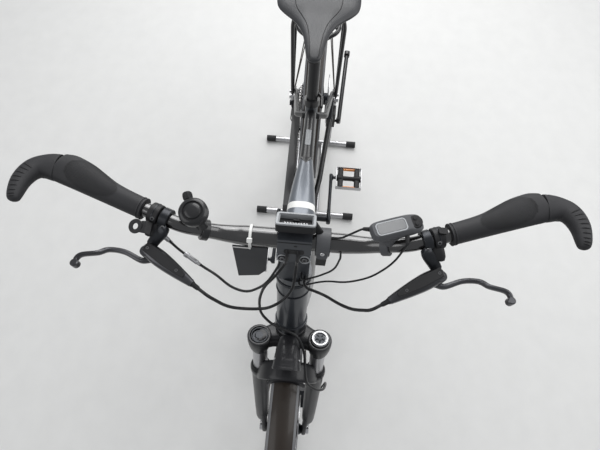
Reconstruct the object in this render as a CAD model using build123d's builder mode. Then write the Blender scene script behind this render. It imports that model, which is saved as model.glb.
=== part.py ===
from build123d import *
import math
import os

os.makedirs("parts", exist_ok=True)

# Electric bicycle held upright in a low display stand. Lengths are millimetres and angles degrees.
# +X points forward, +Y to the rider's left, +Z up from the floor. The places along the bicycle
# are measured from the bottom bracket, and the origin is under the middle of the whole length.

# Wheels
tyre_outer_radius = 357.0
tyre_section_radius = 24.5
tyre_height = 39.0
rim_depth = 24.0
rim_outer_radius = tyre_outer_radius - tyre_height
rim_inner_radius = rim_outer_radius - rim_depth
rim_width = 28.0
rotor_radius = 90.0
rotor_thickness = 1.8
spokes_per_side = 16
spoke_radius = 1.0
spoke_cross_angle = 67.5

# Wheelbase and frame points
wheel_lift = 35.0
rear_reach = 460.0
front_reach = 676.0
bracket_height = 305.0
head_angle = 70.0
fork_rake = 45.0
crown_above_tyre = 108.0
fork_length = tyre_outer_radius + crown_above_tyre
head_tube_length = 150.0
seat_angle = 73.1
seat_tube_top = 461.0

# Clearances: one for pieces that lie on each other, one for turning fits
seat_gap = 0.3
fit_gap = 0.05

# Mudguards
mudguard_gap = 15.4
mudguard_wall = 1.6
mudguard_half_width = 30.0
mudguard_radius = tyre_outer_radius + mudguard_gap + mudguard_wall

# Frame tubes
head_tube_radius = 30.0
head_tube_bore = 20.0
seat_tube_radius = 17.5
seat_post_radius = 15.4
motor_half_width = 42.0

# Fork
steerer_radius = 14.3
stanchion_radius = 16.0
stanchion_spacing = 124.0
stanchion_ahead = 28.5
lower_leg_radius = 20.5

# Chain drive
chain_line = -50.0
chainring_radius = 85.0
crank_length = 170.0
crank_inner_face = 80.0
crank_thickness = 15.0
spindle_radius = 12.0

# Handlebar
bar_radius = 15.9
bar_end_radius = 11.1
bar_ahead = 408.0
bar_height = 1060.0

# Display stand
stand_tube_radius = 11.0
stand_rubber_radius = 14.0
stand_half_width = 205.0
stand_rear_at = -533.0
stand_front_at = -160.0
stand_rail_side = 52.0
upright_side = 81.5

# The middle of the length lies halfway between the rear mudguard and the front tyre.
bracket_x = (rear_reach + mudguard_radius - front_reach - tyre_outer_radius) / 2


def at(ahead, side, up):
    """Gives a point by its distance ahead of the bottom bracket."""
    return Vector(bracket_x + ahead, side, up)


rear_axle = at(-rear_reach, 0, tyre_outer_radius + wheel_lift)
front_axle = at(front_reach, 0, tyre_outer_radius)
bracket = at(0, 0, bracket_height)

# Steering line: it leans back as it rises, and the front axle lies ahead of it by the rake.
steer_up = Vector(-math.cos(math.radians(head_angle)), 0, math.sin(math.radians(head_angle)))
steer_front = Vector(math.sin(math.radians(head_angle)), 0, math.cos(math.radians(head_angle)))
steer_foot = front_axle - steer_front * fork_rake
seat_up = Vector(-math.cos(math.radians(seat_angle)), 0, math.sin(math.radians(seat_angle)))
left = Vector(0, 1, 0)


def on_fork(along, ahead=0.0, side=0.0):
    """Gives a point by its place along the steering line, ahead of it and to its left."""
    return steer_foot + steer_up * along + steer_front * ahead + left * side


def across_fork(along, ahead=0.0, side=0.0):
    """A plane square to the steering line, with ahead and left as its own directions."""
    return Plane(origin=on_fork(along, ahead, side), x_dir=steer_front, z_dir=steer_up)


def beside_fork(side):
    """A plane seen from the right, with ahead and along the steering line as its directions."""
    return Plane(origin=on_fork(0, 0, side), x_dir=steer_front, z_dir=-left)


def side_plane(side):
    """The plane of a side view, with X and Z as its directions and its face to the right."""
    return Plane(origin=(0, side, 0), x_dir=(1, 0, 0), z_dir=(0, -1, 0))


def on_seat_line(along, side=0.0):
    """Gives a point on the seat tube's line by its distance from the bottom bracket."""
    return bracket + seat_up * along + left * side


def across_seat_line(along):
    return Plane(origin=on_seat_line(along), x_dir=(math.sin(math.radians(seat_angle)), 0,
                 math.cos(math.radians(seat_angle))), z_dir=seat_up)


def add_rod(start, end, radius, mode=Mode.ADD):
    """Adds or cuts one straight round bar in the part being built."""
    way = end - start
    with BuildSketch(Plane(origin=start, z_dir=way)) as end_face:
        Circle(radius)
    extrude(end_face.sketch, amount=way.length, mode=mode)


def add_bent_tube(points, radius, bend=None):
    """Adds a round tube that follows the points, with an arc at each corner."""
    if bend is None:
        bend = corner_radii(points)
    with BuildLine() as route:
        FilletPolyline(*points, radius=bend)
    with BuildSketch(Plane(origin=route.line @ 0, z_dir=route.line % 0)) as end_face:
        Circle(radius)
    sweep(end_face.sketch, path=route.line)


def corner_radii(points):
    """The widest arc at each corner that its two straight runs leave room for."""
    radii = []
    for before, corner, after in zip(points, points[1:], points[2:]):
        turn = math.radians((corner - before).get_angle(after - corner))
        shorter = min((corner - before).length, (after - corner).length)
        radii.append(0.45 * shorter / math.tan(turn / 2))
    return radii


def radial_plane(centre, angle):
    """A plane through a wheel's axis, with left and outward from the axis as its directions."""
    turn = math.radians(angle)
    return Plane(origin=centre, x_dir=(0, 1, 0), z_dir=(math.sin(turn), 0, -math.cos(turn)))


def around(centre):
    """The axis of a wheel or disc, turning so that forward goes up."""
    return Axis(origin=centre, direction=(0, -1, 0))


def save(part, name):
    part.label = name
    export_step(part, f"parts/{name}.step")


# Wheels

def make_tyre(axle, name):
    """A round tyre that sits on the rim's edges."""
    with BuildPart() as tyre:
        with BuildSketch(radial_plane(axle, 90)):
            with Locations((0, tyre_outer_radius - tyre_section_radius)):
                Circle(tyre_section_radius)
            with Locations((0, rim_outer_radius + seat_gap)):
                Rectangle(3 * tyre_section_radius, 2 * tyre_section_radius,
                          align=(Align.CENTER, Align.MAX), mode=Mode.SUBTRACT)
        revolve(axis=around(axle))
    save(tyre.part, name)


def make_rim(axle, name):
    """A box rim with two edges for the tyre."""
    half = rim_width / 2
    edge = 2.0
    bed = rim_outer_radius - 12
    with BuildPart() as rim:
        with BuildSketch(radial_plane(axle, 90)):
            with BuildLine():
                Polyline((-half, rim_outer_radius), (-half + edge, rim_outer_radius), (-half + edge, bed),
                         (half - edge, bed), (half - edge, rim_outer_radius), (half, rim_outer_radius),
                         (half, bed), (half - 6, rim_inner_radius), (-half + 6, rim_inner_radius),
                         (-half, bed), close=True)
            make_face()
        revolve(axis=around(axle))
    save(rim.part, name)


def polar(axle, radius, angle, side):
    turn = math.radians(angle)
    return axle + Vector(radius * math.cos(turn), side, radius * math.sin(turn))


def make_spokes(axle, flanges, flange_radius, name):
    """Crossed wire spokes from both faces of each flange to the rim."""
    step = 360 / spokes_per_side
    offset = hub_flange / 2 + spoke_radius + 0.9
    with BuildPart() as spokes:
        for sign, flange_side in zip((1, -1), flanges):
            for pair in range(spokes_per_side // 2):
                first = 2 * step * pair + (step / 2 if sign < 0 else 0)
                for lean, start in ((1, first), (-1, first + step)):
                    hub_end = polar(axle, flange_radius - 3, start, flange_side + lean * offset)
                    rim_end = polar(axle, rim_inner_radius - 0.3, start + lean * spoke_cross_angle, sign * 4)
                    add_rod(hub_end, rim_end, spoke_radius)
    save(spokes.part, name)


hub_flange = 3.0
front_flanges = (27.0, -33.0)
rear_flanges = (33.0, -21.0)
front_flange_radius = 26.0
rear_flange_radius = 29.0
axle_radius = 6.0
axle_seat = 0.02
front_drop_side = 50.0
rear_drop_side = 67.5
drop_thickness = 7.0
front_rotor_side = 37.0
rear_rotor_side = 52.0


def make_hub(axle, flanges, flange_radius, shell_radius, left_end, right_end, rotor_side, name):
    """A hub shell with two flanges, a seat for the rotor and a bore for the fixed axle."""
    bore = axle_radius + fit_gap
    half = hub_flange / 2
    left_flange, right_flange = flanges
    seat = rotor_side - rotor_thickness / 2 - seat_gap
    with BuildPart() as hub:
        with BuildSketch(radial_plane(axle, 90)):
            with BuildLine():
                Polyline((right_end, bore), (right_end, 10), (right_flange - half - 4, 14),
                         (right_flange - half, 16), (right_flange - half, flange_radius),
                         (right_flange + half, flange_radius), (right_flange + half, shell_radius + 2),
                         (right_flange + 12, shell_radius), (left_flange - 10, shell_radius),
                         (left_flange - half, shell_radius + 2), (left_flange - half, flange_radius),
                         (left_flange + half, flange_radius), (left_flange + half, 22), (seat, 22),
                         (seat, 17), (left_end, 10), (left_end, bore), close=True)
            make_face()
        revolve(axis=around(axle))
    save(hub.part, name)


def make_rotor(axle, side, name):
    """A brake disc: a ring on five arms round a carrier with its hole on the hub."""
    hole = 17.5 + seat_gap
    with BuildPart() as rotor:
        with BuildSketch(Plane(origin=axle + left * (side + rotor_thickness / 2), x_dir=(1, 0, 0),
                               z_dir=(0, -1, 0))):
            Circle(rotor_radius)
            Circle(rotor_radius - 15, mode=Mode.SUBTRACT)
            Circle(27)
            with PolarLocations(0, 5):
                with Locations((50, 0)):
                    Rectangle(60, 9, rotation=14)
            Circle(hole, mode=Mode.SUBTRACT)
            with PolarLocations(22.3, 6):
                Circle(2.2, mode=Mode.SUBTRACT)
        extrude(amount=rotor_thickness)
    save(rotor.part, name)


make_tyre(front_axle, "front_tyre")
make_tyre(rear_axle, "rear_tyre")
make_rim(front_axle, "front_rim")
make_rim(rear_axle, "rear_rim")
make_spokes(front_axle, front_flanges, front_flange_radius, "front_spokes")
make_spokes(rear_axle, rear_flanges, rear_flange_radius, "rear_spokes")
make_hub(front_axle, front_flanges, front_flange_radius, 14, 49.0, -49.0, front_rotor_side, "front_hub")
make_hub(rear_axle, rear_flanges, rear_flange_radius, 17, 66.5, -34.0, rear_rotor_side, "rear_hub")
make_rotor(front_axle, front_rotor_side, "front_rotor")
make_rotor(rear_axle, rear_rotor_side, "rear_rotor")

# Sprockets and chain drive
sprocket_pitch = 3.8
sprocket_thickness = 1.6
driven_radius = 43.5
sprocket_table = (
    # radius, steps inboard of the sprocket that the chain is on
    (62.0, 3),
    (55.0, 2),
    (49.0, 1),
    (driven_radius, 0),
    (38.5, -1),
    (34.0, -2),
    (29.5, -3),
    (25.0, -4),
)
chain_half_height = 4.2
chain_half_width = 2.8
chain_plate = 1.0
tooth_gap = 0.6
pulley_radius = 20.0
upper_pulley = rear_axle + Vector(18, 0, -74)
lower_pulley = rear_axle + Vector(42, 0, -142)


with BuildPart() as sprockets:
    for radius, steps in sprocket_table:
        middle = chain_line + steps * sprocket_pitch
        with BuildSketch(Plane(origin=rear_axle + left * (middle + sprocket_thickness / 2),
                               x_dir=(1, 0, 0), z_dir=(0, -1, 0))):
            Circle(radius + 1.5)
            Circle(17.5, mode=Mode.SUBTRACT)
        extrude(amount=sprocket_thickness)
    inner_side = chain_line + 3 * sprocket_pitch
    outer_side = chain_line - 4 * sprocket_pitch
    add_rod(rear_axle + left * (inner_side + 2), rear_axle + left * (outer_side - 1.5), 19)
    add_rod(rear_axle + left * (inner_side + 3.6), rear_axle + left * (1 - rear_drop_side), 9.5)
    add_rod(rear_axle + left * (inner_side + 9), rear_axle - left * (rear_drop_side + 3),
            axle_radius + fit_gap,
            mode=Mode.SUBTRACT)
save(sprockets.part, "sprockets")


def belt_outline(discs):
    """Lines and arcs of a closed belt round discs given as centre x, centre z, radius, turn."""
    count = len(discs)
    leaves = []
    arrives = []
    for i in range(count):
        x0, z0, r0, s0 = discs[i]
        x1, z1, r1, s1 = discs[(i + 1) % count]
        apart = math.hypot(x1 - x0, z1 - z0)
        heading = math.atan2(z1 - z0, x1 - x0) - math.asin((s1 * r1 - s0 * r0) / apart)
        normal = (-math.sin(heading), math.cos(heading))
        leaves.append((x0 - s0 * r0 * normal[0], z0 - s0 * r0 * normal[1]))
        arrives.append((x1 - s1 * r1 * normal[0], z1 - s1 * r1 * normal[1]))
    for i in range(count):
        x, z, radius, turn = discs[i]
        start = arrives[i - 1]
        end = leaves[i]
        first = math.atan2(start[1] - z, start[0] - x)
        last = math.atan2(end[1] - z, end[0] - x)
        swept = (turn * (last - first)) % (2 * math.pi)
        middle = first + turn * swept / 2
        ThreePointArc(start, (x + radius * math.cos(middle), z + radius * math.sin(middle)), end)
        Line(end, arrives[i])


def chain_discs(grow):
    """The discs that the chain runs round, with the loop drawn wider by a distance."""
    return [(bracket.X, bracket.Z, chainring_radius + grow, 1),
            (rear_axle.X, rear_axle.Z, driven_radius + grow, 1),
            (upper_pulley.X, upper_pulley.Z, pulley_radius - grow, -1),
            (lower_pulley.X, lower_pulley.Z, pulley_radius + grow, 1)]


# The chain is one closed loop: side plates with a bridge beyond the tooth tips.
with BuildPart() as chain:
    with BuildSketch(side_plane(chain_line + chain_half_width)):
        with BuildLine():
            belt_outline(chain_discs(chain_half_height))
        make_face()
        with BuildLine():
            belt_outline(chain_discs(-chain_half_height))
        make_face(mode=Mode.SUBTRACT)
    extrude(amount=2 * chain_half_width)
    with BuildSketch(side_plane(chain_line + chain_half_width - chain_plate)):
        with BuildLine():
            belt_outline(chain_discs(chain_half_height - chain_plate))
        make_face()
        with BuildLine():
            belt_outline(chain_discs(-chain_half_height - 1))
        make_face(mode=Mode.SUBTRACT)
    extrude(amount=2 * (chain_half_width - chain_plate), mode=Mode.SUBTRACT)
save(chain.part, "chain")

# The motor unit's side outline about the bottom bracket
motor_outline = ((-78, -10), (-52, -52), (20, -66), (92, -36), (108, 10), (84, 52), (-40, 62), (-76, 40))


def add_motor_block(grow, mode=Mode.ADD):
    """The motor unit's block, drawn larger by a distance where a neighbour is cut back to it."""
    half = motor_half_width + grow
    with BuildSketch(side_plane(half)) as outline:
        with BuildLine():
            Polyline(*[(bracket.X + x, bracket.Z + z) for x, z in motor_outline], close=True)
        make_face()
        if grow:
            offset(amount=grow)
    extrude(outline.sketch, amount=2 * half, mode=mode)


# Frame tubes

head_tube_start = fork_length + 6
head_tube_end = head_tube_start + head_tube_length
cup_height = 8.0

with BuildPart() as head_tube:
    with BuildSketch(across_fork(head_tube_start)):
        Circle(head_tube_radius)
        Circle(head_tube_bore, mode=Mode.SUBTRACT)
    extrude(amount=head_tube_length)
    with BuildSketch(across_fork(head_tube_end - 14)):
        Circle(head_tube_radius + 1.5)
        Circle(head_tube_bore, mode=Mode.SUBTRACT)
    extrude(amount=14)
    with BuildSketch(across_fork(head_tube_start)):
        Circle(head_tube_radius + 2.5)
        Circle(head_tube_bore, mode=Mode.SUBTRACT)
    extrude(amount=16)
    for start, sign in ((head_tube_start, -1), (head_tube_end, 1)):
        with BuildSketch(across_fork(start)):
            Circle(head_tube_radius + 2)
            Circle(steerer_radius + fit_gap, mode=Mode.SUBTRACT)
        extrude(amount=sign * (cup_height - 3))
        with BuildSketch(across_fork(start)):
            Circle(head_tube_bore)
            Circle(steerer_radius + fit_gap, mode=Mode.SUBTRACT)
        extrude(amount=-sign * 10)
save(head_tube.part, "head_tube")

# The top tube flattens and widens towards the head tube.
top_tube_rear = on_seat_line(432)
top_tube_front = on_fork(head_tube_end - 48)
top_tube_way = (top_tube_front - top_tube_rear).normalized()
top_tube_length = (top_tube_front - top_tube_rear).length
top_tube_sections = (
    # share of the length, width, height
    (0.0, 30.0, 32.0),
    (0.36, 34.0, 34.0),
    (0.52, 52.0, 40.0),
    (0.66, 62.0, 44.0),
    (0.85, 60.0, 48.0),
    (1.0, 50.0, 52.0),
)

with BuildPart() as top_tube:
    for share, width, height in top_tube_sections:
        with BuildSketch(Plane(origin=top_tube_rear + top_tube_way * (share * top_tube_length),
                               x_dir=(0, 1, 0), z_dir=top_tube_way)):
            RectangleRounded(width, height, 0.4 * min(width, height))
    loft()
    add_rod(on_fork(head_tube_start - 20), on_fork(head_tube_end + 20), head_tube_radius + 0.05,
            mode=Mode.SUBTRACT)
    add_rod(on_seat_line(380), on_seat_line(seat_tube_top + 30), seat_tube_radius + 0.05,
            mode=Mode.SUBTRACT)
save(top_tube.part, "top_tube")

with BuildPart() as seat_tube:
    add_rod(on_seat_line(60), on_seat_line(seat_tube_top), seat_tube_radius)
    add_rod(on_seat_line(220), on_seat_line(seat_tube_top + 1), seat_post_radius + fit_gap,
            mode=Mode.SUBTRACT)
    add_motor_block(0.05, Mode.SUBTRACT)
save(seat_tube.part, "seat_tube")

# The down tube is a deep box that carries the battery in its upper face.
down_tube_front = on_fork(head_tube_start + 50)
down_tube_rear = bracket + Vector(35, 0, 55)
down_tube_way = (down_tube_rear - down_tube_front).normalized()
down_tube_length = (down_tube_rear - down_tube_front).length
down_tube_up = left.cross(down_tube_way).normalized()
down_tube_sections = (
    # share of the length, width, height
    (0.0, 46.0, 68.0),
    (0.16, 76.0, 84.0),
    (0.45, 92.0, 88.0),
    (1.0, 84.0, 88.0),
)
down_tube_cut = ((84.3, 52.1), (-120, 68.6), (-120, -100), (171.2, -100))
battery_start = 0.16
battery_end = 0.88
battery_depth = 46.0


def add_down_tube_body():
    faces = []
    for share, width, height in down_tube_sections:
        with BuildSketch(Plane(origin=down_tube_front + down_tube_way * (share * down_tube_length),
                               x_dir=-left, z_dir=down_tube_way)) as section:
            RectangleRounded(width, height, 0.3 * min(width, height))
        faces.append(section.sketch)
    loft(faces)


def battery_bay(grow):
    """The box of the down tube's upper part that the battery fills."""
    start = down_tube_front + down_tube_way * (battery_start * down_tube_length - grow)
    length = (battery_end - battery_start) * down_tube_length + 2 * grow
    with BuildSketch(Plane(origin=start + down_tube_up * (44 - battery_depth - grow), x_dir=-left,
                           z_dir=down_tube_way)) as section:
        Rectangle(200, 200, align=(Align.CENTER, Align.MIN))
    return section.sketch, length


with BuildPart() as down_tube:
    add_down_tube_body()
    bay, bay_length = battery_bay(seat_gap)
    extrude(bay, amount=bay_length, mode=Mode.SUBTRACT)
    with BuildSketch(across_fork(head_tube_start - 60)):
        Circle(head_tube_radius + 2.55)
        Rectangle(200, 200, align=(Align.MIN, Align.CENTER))
    extrude(amount=head_tube_length + 120, mode=Mode.SUBTRACT)
    with BuildSketch(side_plane(100)):
        with BuildLine():
            Polyline(*[(bracket.X + x, bracket.Z + z + seat_gap) for x, z in down_tube_cut], close=True)
        make_face()
    extrude(amount=200, mode=Mode.SUBTRACT)
save(down_tube.part, "down_tube")

with BuildPart() as battery:
    add_down_tube_body()
    bay, bay_length = battery_bay(0)
    extrude(bay, amount=bay_length, mode=Mode.INTERSECT)
save(battery.part, "battery")

# The motor unit hangs between the down tube and the chainstays, round the crank spindle.
with BuildPart() as motor_unit:
    add_motor_block(0)
    add_rod(bracket + left * 60, bracket - left * 60, spindle_radius + fit_gap, mode=Mode.SUBTRACT)
save(motor_unit.part, "motor_unit")

# Chainstays and seatstays, one each side, with the plates that hold the rear axle
stay_end_side = rear_drop_side + drop_thickness / 2
chainstay_radius = 9.5
seatstay_radius = 7.5
stay_stop = 50.0
seatstay_stop = 42.0

# The kickstand's pivot on the left stay. The leg rests folded back and swings down about a slanted pin.
kick_pivot = rear_axle + Vector(42, 97, -70)
kick_plate = ((24, -4), (62, -12), (62, -86), (24, -80))
kick_axis = Vector(-0.0998, -0.946, -0.309).normalized()
kick_folded = Vector(-0.985, 0.05, 0.165).normalized()
kick_length = 296.0
kick_radius = 8.0
kick_pin_radius = 5.0

with BuildPart() as chainstays:
    for sign in (1, -1):
        add_bent_tube([bracket + Vector(-60, sign * 31, -5), bracket + Vector(-150, sign * 46, 13),
                       rear_axle + Vector(stay_stop, sign * (stay_end_side - 1), -10)], chainstay_radius,
                      [60])
        with BuildSketch(Plane(origin=rear_axle + left * (sign * stay_end_side + drop_thickness / 2),
                               x_dir=(1, 0, 0), z_dir=(0, -1, 0))):
            Circle(20)
            with Locations((0, -10)):
                Rectangle(stay_stop + 12, 22, align=(Align.MIN, Align.CENTER))
            Rectangle(26, seatstay_stop, align=(Align.CENTER, Align.MIN))
            Circle(axle_radius + axle_seat, mode=Mode.SUBTRACT)
        extrude(amount=drop_thickness)
    with BuildSketch(side_plane(87.2)):
        with BuildLine():
            Polyline(*[(rear_axle.X + x, rear_axle.Z + z) for x, z in kick_plate], close=True)
        make_face()
    extrude(amount=33)
    add_rod(kick_pivot - kick_axis * 12, kick_pivot + kick_axis * 12, kick_pin_radius)
    add_motor_block(0.05, Mode.SUBTRACT)
save(chainstays.part, "chainstays")

stay_top = on_seat_line(380) + Vector(-42, 0, 0)
stay_foot = rear_axle + Vector(4, 0, seatstay_stop - 4)
stay_way = (stay_top - rear_axle).normalized()
bridge_radius = 6.0

with BuildPart() as seatstays:
    for sign in (1, -1):
        add_bent_tube([on_seat_line(418, sign * 14), stay_top + left * (sign * 42),
                       stay_foot + left * (sign * (stay_end_side - 4))], seatstay_radius, [40])
    add_rod(on_seat_line(418, 24), on_seat_line(418, -24), 9)
    bridge = rear_axle + stay_way * (mudguard_radius + seat_gap + bridge_radius)
    add_rod(bridge + left * 44, bridge - left * 44, bridge_radius)
    add_rod(on_seat_line(300), on_seat_line(450), seat_tube_radius + 0.05, mode=Mode.SUBTRACT)
    with BuildSketch(Plane.XY.offset(rear_axle.Z + seatstay_stop)):
        with Locations((rear_axle.X, 0)):
            Rectangle(80, 200)
    extrude(amount=-80, mode=Mode.SUBTRACT)
save(seatstays.part, "seatstays")

with BuildPart() as rear_axle_bar:
    add_rod(rear_axle + left * 90, rear_axle - left * 90, axle_radius)
    for sign in (1, -1):
        outer = sign * (rear_drop_side + drop_thickness)
        add_rod(rear_axle + left * outer, rear_axle + left * (outer + sign * 2), 11)
        add_rod(rear_axle + left * (outer + sign * 12), rear_axle + left * (outer + sign * 18), 9)
save(rear_axle_bar.part, "rear_axle")

# Seat clamp with its quick lever, post, rails and saddle
collar_height = 18.0
lever_pivot = on_seat_line(seat_tube_top + 4) + Vector(-seat_tube_radius - 7, 0, 4)

with BuildPart() as seat_clamp:
    with BuildSketch(across_seat_line(seat_tube_top - 6)):
        Circle(seat_tube_radius + 4)
        with Locations((-seat_tube_radius - 6, 0)):
            Rectangle(14, 20)
        Circle(seat_tube_radius + 0.05, mode=Mode.SUBTRACT)
    extrude(amount=collar_height - 12)
    with BuildSketch(across_seat_line(seat_tube_top + 0.1)):
        Circle(seat_tube_radius + 4)
        with Locations((-seat_tube_radius - 6, 0)):
            Rectangle(14, 20)
        Circle(seat_post_radius + fit_gap, mode=Mode.SUBTRACT)
    extrude(amount=collar_height - 6)
    add_rod(lever_pivot + left * 9.9, lever_pivot + left * 17, 7)
    add_bent_tube([lever_pivot + Vector(0, 15, 0), lever_pivot + Vector(14, 27, 2),
                   lever_pivot + Vector(58, 27, 12)], 4, [16])
save(seat_clamp.part, "seat_clamp")

post_top = 655.0
saddle_middle = on_seat_line(post_top + 22)
rail_side = 20.0
rail_radius = 3.5

with BuildPart() as seat_post:
    add_rod(on_seat_line(300), on_seat_line(post_top), seat_post_radius)
    with BuildSketch(side_plane(19)):
        with Locations((saddle_middle.X, saddle_middle.Z - 12)):
            RectangleRounded(44, 26, 8)
    extrude(amount=38)
    for sign in (1, -1):
        add_bent_tube([saddle_middle + Vector(-112, sign * 26, 8.3),
                       saddle_middle + Vector(-62, sign * rail_side, -6),
                       saddle_middle + Vector(52, sign * rail_side, -6),
                       saddle_middle + Vector(104, sign * 10, 8.3)],
                      rail_radius, [30, 30])
save(seat_post.part, "seat_post")

saddle_sections = (
    # place ahead of the rails' middle, width, height of the top above it, thickness
    (-141, 110, 43.3, 30),
    (-125, 168, 48.3, 36),
    (-85, 192, 48.3, 36),
    (-25, 196, 43.3, 31),
    (2, 182, 39.3, 27),
    (25, 128, 36.3, 25),
    (46, 88, 34.3, 23),
    (86, 54, 33.3, 21),
    (120, 42, 30.3, 18),
    (147, 32, 25.3, 12),
)

with BuildPart() as saddle:
    for ahead, width, top, thickness in saddle_sections:
        with BuildSketch(Plane(origin=saddle_middle + Vector(ahead, 0, top - thickness / 2), x_dir=(0, 1, 0),
                               z_dir=(1, 0, 0))):
            RectangleRounded(width, thickness, 0.42 * thickness)
    loft(ruled=True)
save(saddle.part, "saddle")

# Mudguards are thin arches that run round with the tyre.
mudguard_shoulder = 11.0


def add_mudguard(axle, start, end):
    half = mudguard_half_width
    edge = mudguard_radius - mudguard_shoulder
    with BuildSketch(radial_plane(axle, start)) as section:
        with BuildLine():
            ThreePointArc((-half, edge), (0, mudguard_radius), (half, edge))
            Line((half, edge), (half - mudguard_wall, edge))
            ThreePointArc((half - mudguard_wall, edge), (0, mudguard_radius - mudguard_wall),
                          (-half + mudguard_wall, edge))
            Line((-half + mudguard_wall, edge), (-half, edge))
        make_face()
    revolve(section.sketch, axis=around(axle), revolution_arc=end - start)


rear_guard_start = 3.0
rear_guard_end = 195.0
front_guard_start = 50.0
front_guard_end = 190.0

stay_wire = 2.0


def add_guard_stays(axle, foot_radius, foot_side, angles):
    """Wire stays from the axle plates out to the mudguard's edges."""
    for angle in angles:
        for sign in (1, -1):
            add_rod(polar(axle, foot_radius, angle, sign * foot_side),
                    polar(axle, mudguard_radius - mudguard_shoulder + 1, angle,
                          sign * (mudguard_half_width - 0.9)),
                    stay_wire)


with BuildPart() as rear_mudguard:
    add_mudguard(rear_axle, rear_guard_start, rear_guard_end)
    add_guard_stays(rear_axle, 19, rear_drop_side + drop_thickness + seat_gap + stay_wire, (140, 160))
save(rear_mudguard.part, "rear_mudguard")

with BuildPart() as front_mudguard:
    add_mudguard(front_axle, front_guard_start, front_guard_end)
    add_guard_stays(front_axle, 14, front_drop_side + 9 + seat_gap + stay_wire, (184,))
save(front_mudguard.part, "front_mudguard")

# Rear rack: a tube loop with cross bars, and two legs each side down to the axle plates
rack_lift = 24.0
rack_height = rear_axle.Z + mudguard_radius + rack_lift
rack_side = 60.0
rack_tube = 6.0
rack_front = -330.0
rack_rear = -690.0
leg_side = rear_drop_side + drop_thickness + rack_tube + seat_gap
leg_foot = 28.0
leg_knee = 50.0
leg_places = (
    # foot, knee and top, ahead of the rear axle
    (8, 14, 20),
    (0, -146, -156),
)
tail_plate_width = 100.0
tail_plate_height = 46.0
tail_plate_thickness = 2.5
tail_hole_spacing = 80.0
tail_hole_radius = 2.75
tail_hole_drop = 14.0
rack_bars = 5
rack_first_bar = 42.0
rack_bar_pitch = 75.0
rack_bar_radius = 4.0

with BuildPart() as rear_rack:
    for sign in (1, -1):
        add_bent_tube([at(rack_front, sign * 12, rack_height - 14),
                       at(rack_front - 26, sign * rack_side, rack_height),
                       at(rack_rear, sign * rack_side, rack_height), at(rack_rear, 0, rack_height)],
                      rack_tube, [30, 22])
        for foot, knee, top in leg_places:
            add_bent_tube([rear_axle + Vector(foot, sign * leg_side, leg_foot),
                           at(knee - rear_reach, sign * leg_side, rack_height - leg_knee),
                           at(top - rear_reach, sign * rack_side, rack_height)], rack_tube)
    for bar in range(rack_bars):
        ahead = rack_front - rack_first_bar - bar * rack_bar_pitch
        add_rod(at(ahead, -rack_side, rack_height), at(ahead, rack_side, rack_height), rack_bar_radius)
    add_rod(at(rack_front, 12, rack_height - 14), at(rack_front, -12, rack_height - 14), rack_tube)
    with BuildSketch(Plane(origin=at(rack_rear - rack_tube + 1, 0, rack_height - 20), x_dir=(0, 1, 0),
                           z_dir=(-1, 0, 0))):
        RectangleRounded(tail_plate_width, tail_plate_height, 6)
        with Locations((tail_hole_spacing / 2, tail_hole_drop), (-tail_hole_spacing / 2, tail_hole_drop)):
            Circle(tail_hole_radius, mode=Mode.SUBTRACT)
    extrude(amount=tail_plate_thickness + 1)
save(rear_rack.part, "rear_rack")

with BuildPart() as rear_light:
    with BuildSketch(Plane(origin=at(rack_rear - rack_tube - tail_plate_thickness - seat_gap, 0,
                                     rack_height - 6), x_dir=(0, 1, 0), z_dir=(-1, 0, 0))):
        RectangleRounded(84, 32, 10)
    extrude(amount=20)
save(rear_light.part, "rear_light")

# Chain guard: a long plate beside the chain's upper run that curls round the chainring
guard_clearance = 10.0
guard_wall = 2.5
guard_outer_side = -70.0
guard_inner_side = -motor_half_width - seat_gap
guard_reach = chainring_radius + chain_half_height + guard_clearance
guard_rear_drop = 24.0
guard_rear_place = 78.0


def guard_outline(grow):
    """The top edge of the guard from its rear end to low in front of the chainring, then back."""
    reach = guard_reach + grow
    rear_x = rear_axle.X + guard_rear_place
    rear_top = rear_axle.Z + driven_radius + guard_clearance + 6 + grow
    slope = math.atan2(rear_top - bracket.Z - reach, bracket.X - rear_x)
    top = (bracket.X - reach * math.sin(-slope), bracket.Z + reach * math.cos(slope))
    nose = (bracket.X + reach, bracket.Z)
    low = (bracket.X + reach * math.cos(math.radians(-40)), bracket.Z + reach * math.sin(math.radians(-40)))
    return (rear_x, rear_top), top, nose, low


def draw_guard(grow, drop):
    """Draws the guard's side outline, open lines and one arc."""
    rear, top, nose, low = guard_outline(grow)
    inner = (bracket.X + 30, bracket.Z - 10)
    above = (bracket.X, bracket.Z + chainring_radius - drop)
    back = (rear[0], rear[1] - drop)
    Line(rear, top)
    ThreePointArc(top, nose, low)
    Line(low, inner)
    Line(inner, above)
    Line(above, back)
    Line(back, rear)


with BuildPart() as chain_guard:
    with BuildSketch(side_plane(guard_inner_side)):
        with BuildLine():
            draw_guard(guard_wall, guard_rear_drop)
        make_face()
    extrude(amount=guard_inner_side - guard_outer_side)
    with BuildSketch(side_plane(guard_inner_side + 1)):
        with BuildLine():
            draw_guard(0, guard_rear_drop + 60)
        make_face()
    extrude(amount=guard_inner_side - guard_outer_side - guard_wall + 1, mode=Mode.SUBTRACT)
    add_rod(bracket - left * 40, bracket - left * 90, 34, mode=Mode.SUBTRACT)
save(chain_guard.part, "chain_guard")

# Rear derailleur: hanger, body, cage plates and two guide wheels
cage_side = 4.2

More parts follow.
